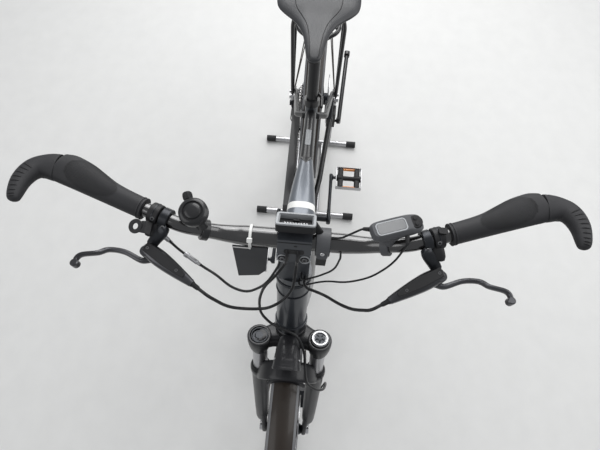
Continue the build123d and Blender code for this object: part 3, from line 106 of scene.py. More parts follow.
# %% Camera
pitch, yaw, roll = 0.43337, 0.04168, 0.04699
camera_place = Vector((0.5665, 0.0171, 1.6725))
focal_pixels, picture_width = 430.88, 600
look = Vector((-math.sin(pitch) * math.cos(yaw), -math.sin(pitch) * math.sin(yaw), -math.cos(pitch)))
level_up = Vector((-math.cos(pitch) * math.cos(yaw), -math.cos(pitch) * math.sin(yaw), math.sin(pitch)))
level_right = look.cross(level_up)
right = level_right * math.cos(roll) + level_up * math.sin(roll)
upward = level_up * math.cos(roll) - level_right * math.sin(roll)

camera_data = bpy.data.cameras.new("photo_camera")
camera_data.sensor_width = 36.0
camera_data.lens = focal_pixels / picture_width * camera_data.sensor_width
camera = bpy.data.objects.new("photo_camera", camera_data)
bpy.context.scene.collection.objects.link(camera)
camera.matrix_world = Matrix((
    (right.x, upward.x, -look.x, camera_place.x),
    (right.y, upward.y, -look.y, camera_place.y),
    (right.z, upward.z, -look.z, camera_place.z),
    (0.0, 0.0, 0.0, 1.0),
))
bpy.context.scene.camera = camera
print("lens", round(camera_data.lens, 2), "mm")

# %% [markdown]
# ## Finishes
# No surface on a real bicycle is one flat colour. Each finish below is built from the same few nodes:
# a slow noise that shifts the colour and the gloss, a fine noise that roughens the surface, and a
# lighter tone on edges, where paint and rubber wear first. Only the numbers differ between finishes.

# %% Two short hands for nodes


def link(tree, source, output, target, socket):
    """Joins a node's output to another node's input."""
    tree.links.new(source.outputs[output], target.inputs[socket])


def add_node(tree, kind, **values):
    """A new node with some of its inputs set. An underscore stands for a space in an input's name."""
    node = tree.nodes.new(kind)
    for socket, value in values.items():
        node.inputs[socket.replace("_", " ")].default_value = value
    return node

# %% [markdown]
# A finish could also be a painted picture wrapped round the piece, but that needs an unwrapped mesh and
# a file. Noise is worked out at each point in space, so it fits any form, and its scale is a real size.

# %% A helper that builds a finish


def make_finish(name, colour, rough, metal=0.0, grain=700.0, bump=0.05, mottle=0.18, wear=0.15,
                coat=0.0, stretch=(1.0, 1.0, 1.0), sheen=0.0, shine=0.35):
    """A material with a slow mottle, a fine grain and lighter edges."""
    material = bpy.data.materials.new(name)
    material.use_nodes = True
    material.diffuse_color = (*colour, 1.0)
    tree = material.node_tree
    shader = tree.nodes["Principled BSDF"]
    place = tree.nodes.new("ShaderNodeTexCoord")
    scale = add_node(tree, "ShaderNodeMapping", Scale=stretch)
    link(tree, place, "Object", scale, "Vector")
    slow = add_node(tree, "ShaderNodeTexNoise", Scale=14.0, Detail=5.0)
    link(tree, scale, "Vector", slow, "Vector")
    fine = add_node(tree, "ShaderNodeTexNoise", Scale=grain, Detail=2.0)
    link(tree, scale, "Vector", fine, "Vector")

    # The slow noise chooses between a darker and a lighter tone of the colour.
    tones = tree.nodes.new("ShaderNodeValToRGB")
    for stop, position, share in zip(tones.color_ramp.elements, (0.3, 0.7), (-mottle, mottle)):
        stop.position = position
        stop.color = (*[min(1.0, c * (1.0 + share)) for c in colour], 1.0)
    link(tree, slow, "Fac", tones, "Fac")

    # Pointiness is over a half on outer edges, so only they take the worn tone. The mix node's colour
    # inputs are its sockets 6 and 7, and its colour output is socket 2.
    edge = tree.nodes.new("ShaderNodeNewGeometry")
    edge_share = add_node(tree, "ShaderNodeMapRange", From_Min=0.52, From_Max=0.62, To_Max=wear)
    link(tree, edge, "Pointiness", edge_share, "Value")
    worn = tree.nodes.new("ShaderNodeMix")
    worn.data_type = "RGBA"
    worn.inputs[7].default_value = (*[min(1.0, c * 1.9 + 0.04) for c in colour], 1.0)
    link(tree, edge_share, "Result", worn, 0)
    link(tree, tones, "Color", worn, 6)
    link(tree, worn, 2, shader, "Base Color")

    # The gloss wanders a little round its middle, and the fine noise is a grain 0.8 mm deep at most.
    gloss = add_node(tree, "ShaderNodeMapRange", To_Min=max(0.03, rough - 0.08),
                     To_Max=min(1.0, rough + 0.08))
    link(tree, slow, "Fac", gloss, "Value")
    link(tree, gloss, "Result", shader, "Roughness")
    raised = add_node(tree, "ShaderNodeBump", Strength=bump, Distance=0.8 * MM)
    link(tree, fine, "Fac", raised, "Height")
    link(tree, raised, "Normal", shader, "Normal")
    for socket, value in (("Metallic", metal), ("Coat Weight", coat), ("Coat Roughness", 0.08),
                          ("Specular IOR Level", shine), ("Sheen Weight", sheen)):
        shader.inputs[socket].default_value = value
    return material

# %% [markdown]
# Bicycle paint is a tinted coat over metal: satin on the frame, glossier on the bar. Steel and
# aluminium are metallic with a low grain, and rubber and moulded plastic are rough with a fine pebble.

# %% The finishes of this bicycle
FINISHES = {
    # name: colour, roughness, then what differs from the plain recipe
    "satin_frame_grey": ((0.036, 0.040, 0.047), 0.34,
                         dict(metal=0.25, bump=0.02, coat=0.35, grain=2500, shine=0.5)),
    "satin_black": ((0.012, 0.012, 0.013), 0.36, dict(metal=0.1, bump=0.02, coat=0.3, grain=2500)),
    "fork_black": ((0.013, 0.013, 0.015), 0.40, dict(metal=0.15, bump=0.03, coat=0.2, grain=1800)),
    "bar_gloss_black": ((0.014, 0.013, 0.013), 0.22, dict(bump=0.01, coat=1.0, grain=2500, shine=0.8)),
    "anodised_black": ((0.026, 0.028, 0.032), 0.32, dict(metal=0.55, bump=0.03, grain=1600)),
    "moulded_black": ((0.010, 0.010, 0.011), 0.50, dict(bump=0.12, grain=1500)),
    "moulded_grey": ((0.075, 0.077, 0.082), 0.48, dict(bump=0.12, grain=1500)),
    # a light grey that paints the highlight on the mudguards' rims
    "edge_highlight_grey": ((0.150, 0.152, 0.158), 0.40, dict(bump=0.06, grain=1500)),
    "moulded_silver": ((0.30, 0.31, 0.32), 0.42, dict(metal=0.3, bump=0.06, grain=1500)),
    "silver_paint": ((0.145, 0.158, 0.178), 0.34,
                     dict(metal=0.45, bump=0.02, coat=0.35, grain=2500, mottle=0.05, wear=0.05)),
    "warm_black": ((0.030, 0.024, 0.020), 0.30, dict(bump=0.03, coat=0.4, stretch=(1, 6, 1))),
    "tyre_rubber": ((0.0085, 0.008, 0.0075), 0.86, dict(bump=0.22, grain=900, mottle=0.3, wear=0.3)),
    "soft_rubber": ((0.012, 0.012, 0.013), 0.66, dict(bump=0.15, grain=1200)),
    "grip_rubber": ((0.022, 0.022, 0.024), 0.60, dict(bump=0.2, grain=1400, wear=0.25)),
    "brushed_steel": ((0.46, 0.46, 0.47), 0.32, dict(metal=1.0, bump=0.05, stretch=(1, 1, 6), grain=500)),
    "bright_steel": ((0.58, 0.58, 0.59), 0.22, dict(metal=1.0, bump=0.02)),
    "bright_aluminium": ((0.42, 0.42, 0.43), 0.36, dict(metal=1.0, bump=0.04)),
    "dark_steel": ((0.16, 0.16, 0.165), 0.36, dict(metal=0.95, bump=0.05)),
    "chain_steel": ((0.26, 0.25, 0.24), 0.34, dict(metal=0.95, bump=0.08, mottle=0.3)),
    "lever_satin": ((0.085, 0.085, 0.090), 0.28, dict(metal=0.9, bump=0.03)),
    "mudguard_plastic": ((0.022, 0.016, 0.012), 0.40, dict(bump=0.03, coat=0.15)),
    "hose_black": ((0.012, 0.012, 0.013), 0.35, dict(bump=0.04)),
    "lamp_red": ((0.42, 0.012, 0.012), 0.18, dict(bump=0.01, coat=0.7, mottle=0.1)),
    "amber_reflector": ((0.85, 0.26, 0.02), 0.25, dict(bump=0.3, grain=400, coat=0.4)),
    "saddle_cover": ((0.030, 0.031, 0.034), 0.44, dict(bump=0.16, grain=1900, coat=0.1, sheen=0.1)),
    "tag_card": ((0.036, 0.037, 0.040), 0.42, dict(bump=0.1, grain=800)),
    "zinc_stand": ((0.50, 0.50, 0.51), 0.34, dict(metal=0.9, bump=0.06, mottle=0.25)),
    "white_plastic": ((0.72, 0.72, 0.70), 0.45, dict(bump=0.05)),
    "screen_glass": ((0.10, 0.104, 0.108), 0.16, dict(bump=0.0, coat=1.0, wear=0.0)),
    "clear_lens": ((0.60, 0.62, 0.64), 0.08, dict(bump=0.0, coat=1.0, wear=0.0, metal=0.3)),
}
finishes = {}
for finish_name, (colour, rough, extras) in FINISHES.items():
    finishes[finish_name] = make_finish(finish_name, colour, rough, **extras)
print(len(finishes), "finishes")

# %% [markdown]
# ## Give each solid its finish
# A solid that already has the right shape keeps its mesh and only gets a better material in its slot.

# %% Finishes of the solids
SOLID_FINISHES = {
    "satin_frame_grey": ("head_tube", "down_tube", "top_tube", "seat_tube", "stem", "stem_faceplate"),
    "satin_black": ("battery", "chainstays", "seatstays", "rear_rack", "seat_post", "seat_clamp",
                    "kickstand_leg", "chain_guard", "bell"),
    "fork_black": ("fork_crown", "fork_lowers", "headlight"),
    "bar_gloss_black": ("handlebar",),
    "anodised_black": ("front_hub", "rear_hub", "front_rim", "rear_rim", "fork_caps", "cranks",
                       "rear_derailleur", "front_caliper", "rear_caliper"),
    "moulded_black": ("motor_unit", "display", "display_mount", "bar_controls", "left_pedal", "right_pedal"),
    "tyre_rubber": ("front_tyre", "rear_tyre"),
    "soft_rubber": ("stand_rubber_ends",),
    "grip_rubber": ("grips", "bar_ends"),
    "brushed_steel": ("front_rotor", "rear_rotor"),
    "bright_steel": ("front_axle", "rear_axle", "sprockets"),
    "bright_aluminium": ("stanchions",),
    "dark_steel": ("front_spokes", "rear_spokes"),
    "chain_steel": ("chain",),
    "lever_satin": ("lever_bodies", "lever_blades"),
    "mudguard_plastic": ("front_mudguard", "rear_mudguard"),
    "hose_black": ("bar_hoses", "frame_hoses"),
    "lamp_red": ("rear_light",),
    "saddle_cover": ("saddle",),
    "tag_card": ("hang_tag",),
    "zinc_stand": ("stand_frame",),
}
for finish_name, names in SOLID_FINISHES.items():
    for name in names:
        solids[name].data.materials.clear()
        solids[name].data.materials.append(finishes[finish_name])
dressed = {name for names in SOLID_FINISHES.values() for name in names}
print("solids without a finish:", sorted(set(solids) - dressed))

# %% [markdown]
# ## A small kit for building forms
# Nearly every part here is a row of rings joined by skin: a tube, a grip, a bolt or a saddle. Two small
# questions come back in all of them: which angles go round a circle, and which way a path heads.

# %% Angles and headings


def angles(count):
    """Equal steps round a circle, in radians."""
    return [2 * math.pi * i / count for i in range(count)]


def heading_at(path, i):
    """The direction of a path at one of its points, read from the points beside it."""
    return (path[min(i + 1, len(path) - 1)] - path[max(i - 1, 0)]).normalized()

# %% [markdown]
# One class collects the skins of a piece. Blender's own curves and primitives could draw some of them,
# but plain points and faces give every form the same few rules, and one piece can hold many forms.

# %% Collect rings and plates into one mesh


class Shape:
    """Points and faces in millimetres, collected from rings, tubes, turned profiles and plates."""

    def __init__(self):
        self.points = []
        self.faces = []

    def skin(self, rings, ends=True, loop=False):
        """Joins rings that have equally many points."""
        first, count, rows = len(self.points), len(rings[0]), len(rings)
        for ring in rings:
            self.points += ring
        for row in range(rows if loop else rows - 1):
            here, after = first + row * count, first + ((row + 1) % rows) * count
            for i in range(count):
                j = (i + 1) % count
                self.faces.append((here + i, here + j, after + j, after + i))
        if ends and not loop:
            self.faces.append(tuple(first + i for i in reversed(range(count))))
            self.faces.append(tuple(first + (rows - 1) * count + i for i in range(count)))
        return self

    def turn(self, profile, base, axis, count=32):
        """A turned piece: the profile gives radius and height along the axis."""
        axis = axis.normalized()
        side, other = square_to(axis)
        rings = []
        for radius, height in profile:
            middle = base + axis * height
            rings.append([middle + (side * math.cos(a) + other * math.sin(a)) * max(radius, 0.01)
                          for a in angles(count)])
        return self.skin(rings)

    def tube(self, path, radius, count=16):
        """A tube along a path. The radius is one number, or one for each point."""
        radii = radius if isinstance(radius, (list, tuple)) else [radius] * len(path)
        side = square_to(path[1] - path[0])[0]
        rings = []
        for i, point in enumerate(path):
            way = heading_at(path, i)
            side = (side - way * side.dot(way)).normalized()
            other = way.cross(side)
            rings.append([point + (side * math.cos(a) + other * math.sin(a)) * radii[i]
                          for a in angles(count)])
        return self.skin(rings)

    def ovals(self, rows, heading, across, count=28, square=2.0):
        """Ovals that all face one way: each row is a middle, a half width and a half thickness."""
        return self.skin([oval(middle, heading, across, half, thick, count, square)
                          for middle, half, thick in rows])

    def plate(self, outline, origin, across, along, thick):
        """A flat plate: the outline is in its own two directions, and it is as thick as said."""
        across, along = across.normalized(), along.normalized()
        out = across.cross(along).normalized()
        lower = [origin + across * x + along * y for x, y in outline]
        return self.skin([lower, [p + out * thick for p in lower]])

    def mirror(self):
        """Adds the same forms on the other side of the bicycle."""
        first = len(self.points)
        self.points += [mirrored(p) for p in self.points[:first]]
        self.faces += [tuple(first + i for i in reversed(face)) for face in self.faces]
        return self

# %% [markdown]
# A few more helpers give the rings themselves. An oval with a higher power is boxier, so one function
# draws a round tube, a cast arm and a lamp's lip. A smooth curve through a short table of sizes gives
# many rings, which is easier to read and to change than a long table.

# %% Ovals, smooth curves and rounded outlines


def square_to(way):
    """Two directions square to a third and to each other."""
    way = way.normalized()
    side = way.cross(up if abs(way.z) < 0.9 else left).normalized()
    return side, way.cross(side)


def oval(centre, heading, across, half, thick, count=28, square=2.0):
    """A ring that is round at square 2 and boxier above it."""
    across = (across - heading * across.dot(heading)).normalized()
    other = heading.normalized().cross(across)
    ring = []
    for a in angles(count):
        c, s = math.cos(a), math.sin(a)
        ring.append(centre + across * half * math.copysign(abs(c) ** (2 / square), c)
                    + other * thick * math.copysign(abs(s) ** (2 / square), s))
    return ring


def flowing(rows, steps=6):
    """Passes a smooth curve through rows of numbers, or points, and reads more rows from it."""
    made = []
    for i in range(len(rows) - 1):
        p0, p1, p2, p3 = (rows[max(0, min(len(rows) - 1, k))] for k in (i - 1, i, i + 1, i + 2))
        for step in range(steps):
            t = step / steps
            row = [0.5 * (2 * b + (c - a) * t + (2 * a - 5 * b + 4 * c - d) * t * t
                          + (3 * b - a - 3 * c + d) * t * t * t) for a, b, c, d in zip(p0, p1, p2, p3)]
            made.append(row)
    made.append(list(rows[-1]))
    return made


def flowing_path(points, steps=6):
    """The same smooth curve through points in space."""
    return [Vector(row) for row in flowing(points, steps)]


def rounded(width, height, corner, count=5):
    """The outline of a rectangle with round corners, about its middle."""
    outline = []
    for cx, cy, start in ((1, 1, 0), (-1, 1, 90), (-1, -1, 180), (1, -1, 270)):
        for i in range(count + 1):
            a = math.radians(start + 90 * i / count)
            outline.append((cx * (width / 2 - corner) + corner * math.cos(a),
                            cy * (height / 2 - corner) + corner * math.sin(a)))
    return outline

# %% [markdown]
# Every piece is made in one way: points that coincide are joined, faces are turned outwards, edges
# sharper than a limit stay sharp, and a bevel softens them where the real part is soft. Then the piece
# is given to the body that carries it, and the solid it stands for is hidden.

# %% Turn a shape into a piece
import bmesh

SAME_POINT = 0.02 * MM
BEVEL_ANGLE = math.radians(35)


def make(shape, name, finish, body, stands_for=(), bevel=0.0, level=0, crease=38):
    """Turns the collected forms into one piece that rides on a body."""
    mesh = bpy.data.meshes.new(name)
    mesh.from_pydata([p * MM for p in shape.points], [], shape.faces)
    work = bmesh.new()
    work.from_mesh(mesh)
    bmesh.ops.remove_doubles(work, verts=work.verts, dist=SAME_POINT)
    bmesh.ops.recalc_face_normals(work, faces=work.faces)
    work.to_mesh(mesh)
    work.free()
    piece = bpy.data.objects.new(name, mesh)
    bpy.context.scene.collection.objects.link(piece)
    mesh.materials.append(finishes[finish])
    for polygon in mesh.polygons:
        polygon.use_smooth = True
    mesh.set_sharp_from_angle(angle=math.radians(crease))
    if bevel:
        soft = piece.modifiers.new("soft_edges", "BEVEL")
        soft.width = bevel * MM
        soft.segments = 2
        soft.limit_method = "ANGLE"
        soft.angle_limit = BEVEL_ANGLE
        soft.harden_normals = True
    if level:
        fine = piece.modifiers.new("smooth", "SUBSURF")
        fine.levels = fine.render_levels = level
    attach(piece, body)
    if stands_for:
        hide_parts(*([stands_for] if isinstance(stands_for, str) else stands_for))
    print(name, len(mesh.polygons), "faces on", body)
    return piece

# %% [markdown]
# Screws, ring clamps and small raised points come back all over the bicycle, so each is a function. A
# screw's head is turned with its socket in one profile, so the recess is real and catches a shadow.

# %% Bolts, clamps and raised points


def add_bolt(shape, place, out, size=1.0, depth=3.0):
    """A socket head bolt: a head with a recess, seated on the surface."""
    head, socket = 4.4 * size, 2.3 * size
    shape.turn([(head, -depth), (head, 1.6 * size), (head - 0.5 * size, 2.1 * size), (socket, 2.1 * size),
                (socket, 0.4 * size), (0.0, 0.2 * size)], place, out, 20)


def add_clamp(shape, place, way, bore, half, outer=16.2, chamfer=0.6, count=40):
    """A ring clamp round a tube, with its outer edges broken."""
    shape.turn([(bore, -half), (outer - chamfer, -half), (outer, chamfer - half), (outer, half - chamfer),
                (outer - chamfer, half), (bore, half)], place, way, count)


def add_pyramid(shape, middle, along, across, tip):
    """A low point with four sides, such as a raised point of a grip or a prism of a lens."""
    low = len(shape.points)
    shape.points += [middle + along, middle + across, middle - along, middle - across, tip]
    shape.faces += [(low + i, low + (i + 1) % 4, low + 4) for i in range(4)]

# %% [markdown]
# ## Handlebar
# The bar is one bent tube, thick in the clamp and thinner at the grips. The solid bends it in a few
# steps, so here its line is sampled finely, and the gloss runs along it without a break.

# %% The bar's line and its tube
bar_corners = [Vector((0, 104, 0)), Vector((8, 166, 33)), Vector((-56, 363, 55))]
bar_bends = (20.5, 17.4)
taper_start, taper_length = 76.0, 60.0
clamp_radius, end_radius = 15.9, 11.1
grip_way = (bar_corners[2] - bar_corners[1]).normalized()
riser_way = (bar_corners[1] - bar_corners[0]).normalized()
grip_outer = bar_middle + bar_corners[2]
grip_length = 146.0
grip_inner = grip_outer - grip_way * grip_length


def on_bar(side):
    """A point on the straight outer part of the bar."""
    return grip_outer - grip_way * ((grip_outer.y - side) / grip_way.y)


def on_riser(side):
    """A point on the rising part of the bar."""
    return bar_middle + bar_corners[0] + riser_way * ((side - bar_corners[0].y) / riser_way.y)


def bar_line():
    """The bar's middle line on the left half, with a round bend at each corner."""
    line = [bar_middle.copy(), near_bar(0, 40, 0), near_bar(0, taper_start, 0)]
    before = Vector((0, 0, 0))
    for corner, reach_back, after in zip(bar_corners, bar_bends, bar_corners[1:]):
        start = corner + (before - corner).normalized() * reach_back
        end = corner + (after - corner).normalized() * reach_back
        for step in range(9):
            t = step / 8
            line.append(bar_middle + start * (1 - t) ** 2 + corner * 2 * t * (1 - t) + end * t * t)
        before = corner
    line.append(on_bar(230))
    line.append(grip_outer - grip_way * 2)
    return line


def bar_radius(side):
    """The bar is thick in the stem's clamp and tapers to the size of its ends."""
    share = max(0.0, min(1.0, (abs(side) - taper_start) / taper_length))
    return clamp_radius - (clamp_radius - end_radius) * share


half_line = bar_line()
bar_shape = Shape()
bar_shape.tube(half_line, [bar_radius(p.y) for p in half_line], 40).mirror()
make(bar_shape, "handlebar_tube", "bar_gloss_black", "fork", "handlebar")

# %% [markdown]
# ## Grips and bar ends
# The grip swells into a flat wing under the palm. Rings from a table follow the solid's own sizes, and
# a smooth curve runs through them, so the wing grows out of the round end without an edge.

# %% Grips
grip_rear = (Vector((-1, 0, 0)) + grip_way * grip_way.x).normalized()
grip_rows = flowing([
    # share of the length, reach to the rear, reach to the front, half thickness
    (0.00, 15.6, 15.6, 15.6),
    (0.03, 16.0, 15.9, 15.8),
    (0.12, 16.4, 16.0, 15.9),
    (0.26, 17.4, 16.0, 15.9),
    (0.40, 20.0, 16.1, 15.8),
    (0.55, 25.6, 16.3, 15.3),
    (0.70, 31.0, 16.5, 14.5),
    (0.84, 33.2, 16.8, 14.1),
    (0.92, 33.0, 17.0, 14.0),
    (1.00, 29.4, 17.0, 14.0),
], 5)


def grip_point(row, angle, lift=0.0):
    """A point on the grip's surface: the row of its ring and the angle, 0 to the rear and 90 on top."""
    share, back, front, thick = row
    centre = grip_inner + grip_way * (share * grip_length) + grip_rear * ((back - front) / 2)
    over = grip_rear.cross(grip_way)
    a = math.radians(angle)
    return (centre + grip_rear * ((back + front) / 2 + lift) * math.cos(a)
            - over * (thick + lift) * math.sin(a))


grip_shape = Shape()
grip_shape.skin([[grip_point(row, 360 * i / 36) for i in range(36)] for row in grip_rows])
for share in (0.005, 0.035):
    ring = grip_inner + grip_way * (share * grip_length)
    grip_shape.turn([(15.5, -0.9), (16.9, -0.7), (16.9, 0.7), (15.5, 0.9)], ring, grip_way, 36)
grip_shape.mirror()
make(grip_shape, "grip_bodies", "grip_rubber", "fork", "grips")

# %% [markdown]
# An oval of small raised points keeps the palm from slipping. They could be a bump in the material,
# but then the outline stays smooth, so each point is a tiny pyramid that stands on the surface. Every
# second row is moved by half a step, as the moulder does it.

# %% The oval of raised points on each grip
patch_middle, patch_reach = 0.60, 0.30
patch_top, patch_spread, angle_step = 88, 66, 5.6
point_size = 0.75
point_shape = Shape()
for i, row in enumerate(flowing(grip_rows, 3)):
    for j in range(-13, 14):
        angle = patch_top + j * angle_step + (angle_step / 2 if i % 2 else 0.0)
        if ((row[0] - patch_middle) / patch_reach) ** 2 + ((angle - patch_top) / patch_spread) ** 2 > 1.0:
            continue
        across = (grip_point(row, angle + 3) - grip_point(row, angle - 3)).normalized()
        add_pyramid(point_shape, grip_point(row, angle), grip_way * point_size, across * point_size,
                    grip_point(row, angle, point_size))
point_shape.mirror()
make(point_shape, "grip_points", "soft_rubber", "fork", crease=180)

# %% [markdown]
# A short horn turns forward at the grip's end. Its rings are set square to its own bent line, and soft
# ribs across its top follow the curve of each ring.

# %% Bar ends with ribs
horn_rows = flowing([
    # outward, forward and up from the grip's end, half width, half thickness
    (-0.9, -4.0, 0.0, 22.0, 14.0),
    (8.0, -4.4, 0.8, 21.0, 14.2),
    (18.0, -3.0, 2.0, 19.0, 14.0),
    (28.0, 2.0, 4.4, 17.0, 13.7),
    (34.5, 12.0, 7.4, 15.4, 13.2),
    (38.0, 26.0, 10.4, 13.8, 12.4),
    (38.0, 40.0, 12.8, 12.0, 11.2),
    (36.4, 54.0, 14.4, 9.8, 9.4),
    (34.6, 61.0, 15.0, 7.0, 7.0),
    (34.0, 64.0, 15.0, 2.0, 2.0),
], 4)
horn_shape = Shape()
horn_middles = [grip_outer + Vector((row[1], row[0], row[2])) for row in horn_rows]
horn_rings = []
for i, row in enumerate(horn_rows):
    heading = heading_at(horn_middles, i)
    horn_rings.append(oval(horn_middles[i], heading, heading.cross(up), row[3], row[4], 28, 2.2))
horn_shape.skin(horn_rings)
horn_shape.mirror()
make(horn_shape, "bar_end_bodies", "grip_rubber", "fork", "bar_ends")

rib_width = 0.52
rib_shape = Shape()
for i in range(15, 33, 2):
    heading = heading_at(horn_middles, i)
    across = heading.cross(up).normalized()
    over = across.cross(heading).normalized()
    half, thick = horn_rows[i][3:]
    path = []
    for k in range(-4, 5):
        x = half * rib_width * k / 4
        lift = thick * math.sqrt(max(0.0, 1 - (x / half) ** 2))
        path.append(horn_middles[i] + across * x + over * (lift + 0.25))
    rib_shape.tube(path, [0.3, 0.8, 0.95, 1.0, 1.0, 1.0, 0.95, 0.8, 0.3], 8)
rib_shape.mirror()
make(rib_shape, "bar_end_ribs", "soft_rubber", "fork")

# %% [markdown]
# ## Brake levers
# Each hydraulic lever has a wedge shaped body that holds the piston and the fluid. It is drawn along
# the line from its pin to the place where the hose leaves, so the body and the hose stay in line.

# %% Lever bodies
lever_clamp = on_bar(191)
reservoir_inner = near_bar(84, 145, 2)
lever_pin = near_bar(44, 212, 14)
lever_tip = near_bar(66, 318, 10)
body_way = (reservoir_inner - lever_pin).normalized()
body_across = body_way.cross(up).normalized()
body_over = body_across.cross(body_way).normalized()
body_length = (reservoir_inner - lever_pin).length
print("lever body", round(body_length, 1), "mm long")
body_rows = flowing([
    # place along the body, half width, half height
    (-10, 5.0, 6.0),
    (-6, 9.5, 9.0),
    (6, 12.0, 10.0),
    (22, 12.5, 10.2),
    (44, 10.6, 9.6),
    (62, 8.2, 8.4),
    (74, 6.4, 6.6),
    (80, 5.2, 5.2),
], 3)
body_shape = Shape()
body_shape.ovals([(lever_pin + body_way * place, half, thick) for place, half, thick in body_rows],
                 body_way, body_across, 28, 2.8)
body_shape.turn([(0, -14), (7.6, -14), (8.4, -13), (8.4, 11), (7.6, 12), (0, 12)],
                lever_pin + Vector((2, 4, -4)), Vector((0.05, 0.0, 1.0)), 28)
body_shape.mirror()
make(body_shape, "lever_reservoirs", "lever_satin", "fork", "lever_bodies")

# %% [markdown]
# A black lid closes the fluid's space and two small screws hold it. A hinged ring clamp with a short arm
# carries the body on the bar. A flat plate with a bevel is enough for the lid, as its edge is straight.

# %% Lever lids, screws and clamps
lid_shape = Shape()
lid_outline = [(-8, -7.5), (30, -8.5), (56, -6.0), (66, -3.4), (66, 3.0), (56, 5.2), (30, 7.5),
               (-6, 7.0)]
lid_shape.plate(lid_outline, lever_pin + body_over * 9.2, body_way, body_over.cross(body_way), 2.8)
lid_shape.mirror()
make(lid_shape, "lever_lids", "moulded_black", "fork", bevel=1.1)

lever_bolts = Shape()
for along in (-2, 52):
    add_bolt(lever_bolts, lever_pin + body_way * along + body_over * 11.4, body_over, 0.5)
add_bolt(lever_bolts, lever_pin + Vector((2, 4, 8)), up, 0.9)
add_bolt(lever_bolts, lever_clamp + Vector((17.5, 0, 7)), Vector((0.6, 0, 0.8)), 0.75)
lever_bolts.mirror()
make(lever_bolts, "lever_bolts", "dark_steel", "fork")

clamp_shape = Shape()
add_clamp(clamp_shape, lever_clamp, grip_way, 11.4, 6.5, chamfer=0.8)
arm_path = flowing_path([lever_clamp + Vector((11, 0, 0)), lever_clamp + Vector((22, 2, 0)),
                         lever_pin + Vector((-10, 0, -1)), lever_pin + Vector((2, -6, -2))], 4)
clamp_shape.ovals([(p, 9.0 - 0.1 * i, 7.0) for i, p in enumerate(arm_path)],
                  Vector((0.8, 0.5, 0)).normalized(), Vector((-0.5, 0.8, 0)), 24, 3.0)
clamp_shape.mirror()
make(clamp_shape, "lever_clamps", "anodised_black", "fork", bevel=0.5)

# %% [markdown]
# The blade is one bent bar with a ball at its end, so that no finger slips off. It thins out towards
# the tip. At the other end a rubber boot guards the hose where it leaves the body.

# %% Lever blades and hose boots
from_pin = ((6, -15, -17), (8, 2, -17), (10, 16, -17), (0, 42, -15), (-1, 66, -13))
from_tip = ((-14, -28, -2), (-9, -8, 0), (-3, -1, 0), (6, 0, 0))
blade_line = flowing_path([lever_pin + Vector(p) for p in from_pin]
                          + [lever_tip + Vector(p) for p in from_tip], 5)
blade_shape = Shape()
blade_rings = []
for i, point in enumerate(blade_line):
    heading = heading_at(blade_line, i)
    share = i / (len(blade_line) - 1)
    wide = 7.0 - 2.4 * min(1.0, share * 1.6)
    blade_rings.append(oval(point, heading, heading.cross(up), wide * 0.72, 5.2, 20, 2.6))
blade_shape.skin(blade_rings)
ball = lever_tip + Vector((6, -1, 0))
blade_shape.turn([(0, -6.2), (4.4, -6.2), (5.8, -5), (5.8, 5), (4.4, 6.2), (0, 6.2)], ball, up, 24)
blade_shape.mirror()
make(blade_shape, "lever_blades_bent", "lever_satin", "fork", "lever_blades")

boot_shape = Shape()
boot_shape.turn([(5.2, -6), (5.2, 0), (4.6, 1), (4.6, 5), (3.9, 6), (3.6, 14), (2.7, 16)],
                reservoir_inner - body_way * 2, body_way, 20)
boot_shape.turn([(6.0, -2.6), (6.0, 2.6)], reservoir_inner - body_way * 3, body_way, 6)
boot_shape.mirror()
make(boot_shape, "lever_hose_boots", "soft_rubber", "fork")

# %% [markdown]
# ## Bell
# The bell is a dome on a drum, with two turned rings on top and a knurled striker that stands out to
# the rear. A turned profile gives the rings, and small ridges round the striker give its grip.

# %% Bell
clamp_side = 137
riser_clamp = mirrored(on_riser(clamp_side))
bell_middle = riser_clamp + Vector((-6, -8, 40))
bell_axis = Vector((0.12, 0, 1)).normalized()
bell_shape = Shape()
bell_shape.turn([(17.6, 0.2), (19.8, 0.8), (20.9, 2.2), (20.9, 8.6), (20.1, 9.2), (20.9, 9.9), (20.6, 11.4),
                 (18.9, 13.2), (16.4, 14.6), (14.6, 14.8), (13.4, 13.0), (12.2, 13.0), (11.4, 14.4),
                 (9.6, 15.4), (6, 15.7), (0, 15.9)], bell_middle, bell_axis, 56)
add_clamp(bell_shape, riser_clamp, mirrored(riser_way), 14.2, 5.5)
bell_shape.turn([(8.5, 0), (7.2, 10), (7.2, 16), (10, 26)], riser_clamp + up * 13.4,
                bell_middle - riser_clamp, 28)
make(bell_shape, "bell_dome", "satin_black", "fork", "bell", crease=30)
striker = Shape()
striker_start = bell_middle + Vector((-17, -11, 2))
striker_way = Vector((-0.92, -0.36, 0.14)).normalized()
striker_radius = 6.6
striker.turn([(3.2, -3), (3.2, 3), (6.2, 4), (striker_radius, 5), (striker_radius, 14), (5.4, 15.4),
              (0, 15.4)], striker_start, striker_way, 24)
side, other = square_to(striker_way)
for a in angles(14):
    out = (side * math.cos(a) + other * math.sin(a)) * striker_radius
    striker.tube([striker_start + striker_way * s + out for s in (5.2, 8, 11, 13.8)], [0.2, 0.7, 0.7, 0.2], 6)
make(striker, "bell_striker", "moulded_black", "fork")

# %% [markdown]
# ## Display
# The display is a slim wedge with a clear window, and a round pod with two soft keys beside it. It
# stands on a narrow foot that clips round the rising part of the bar.

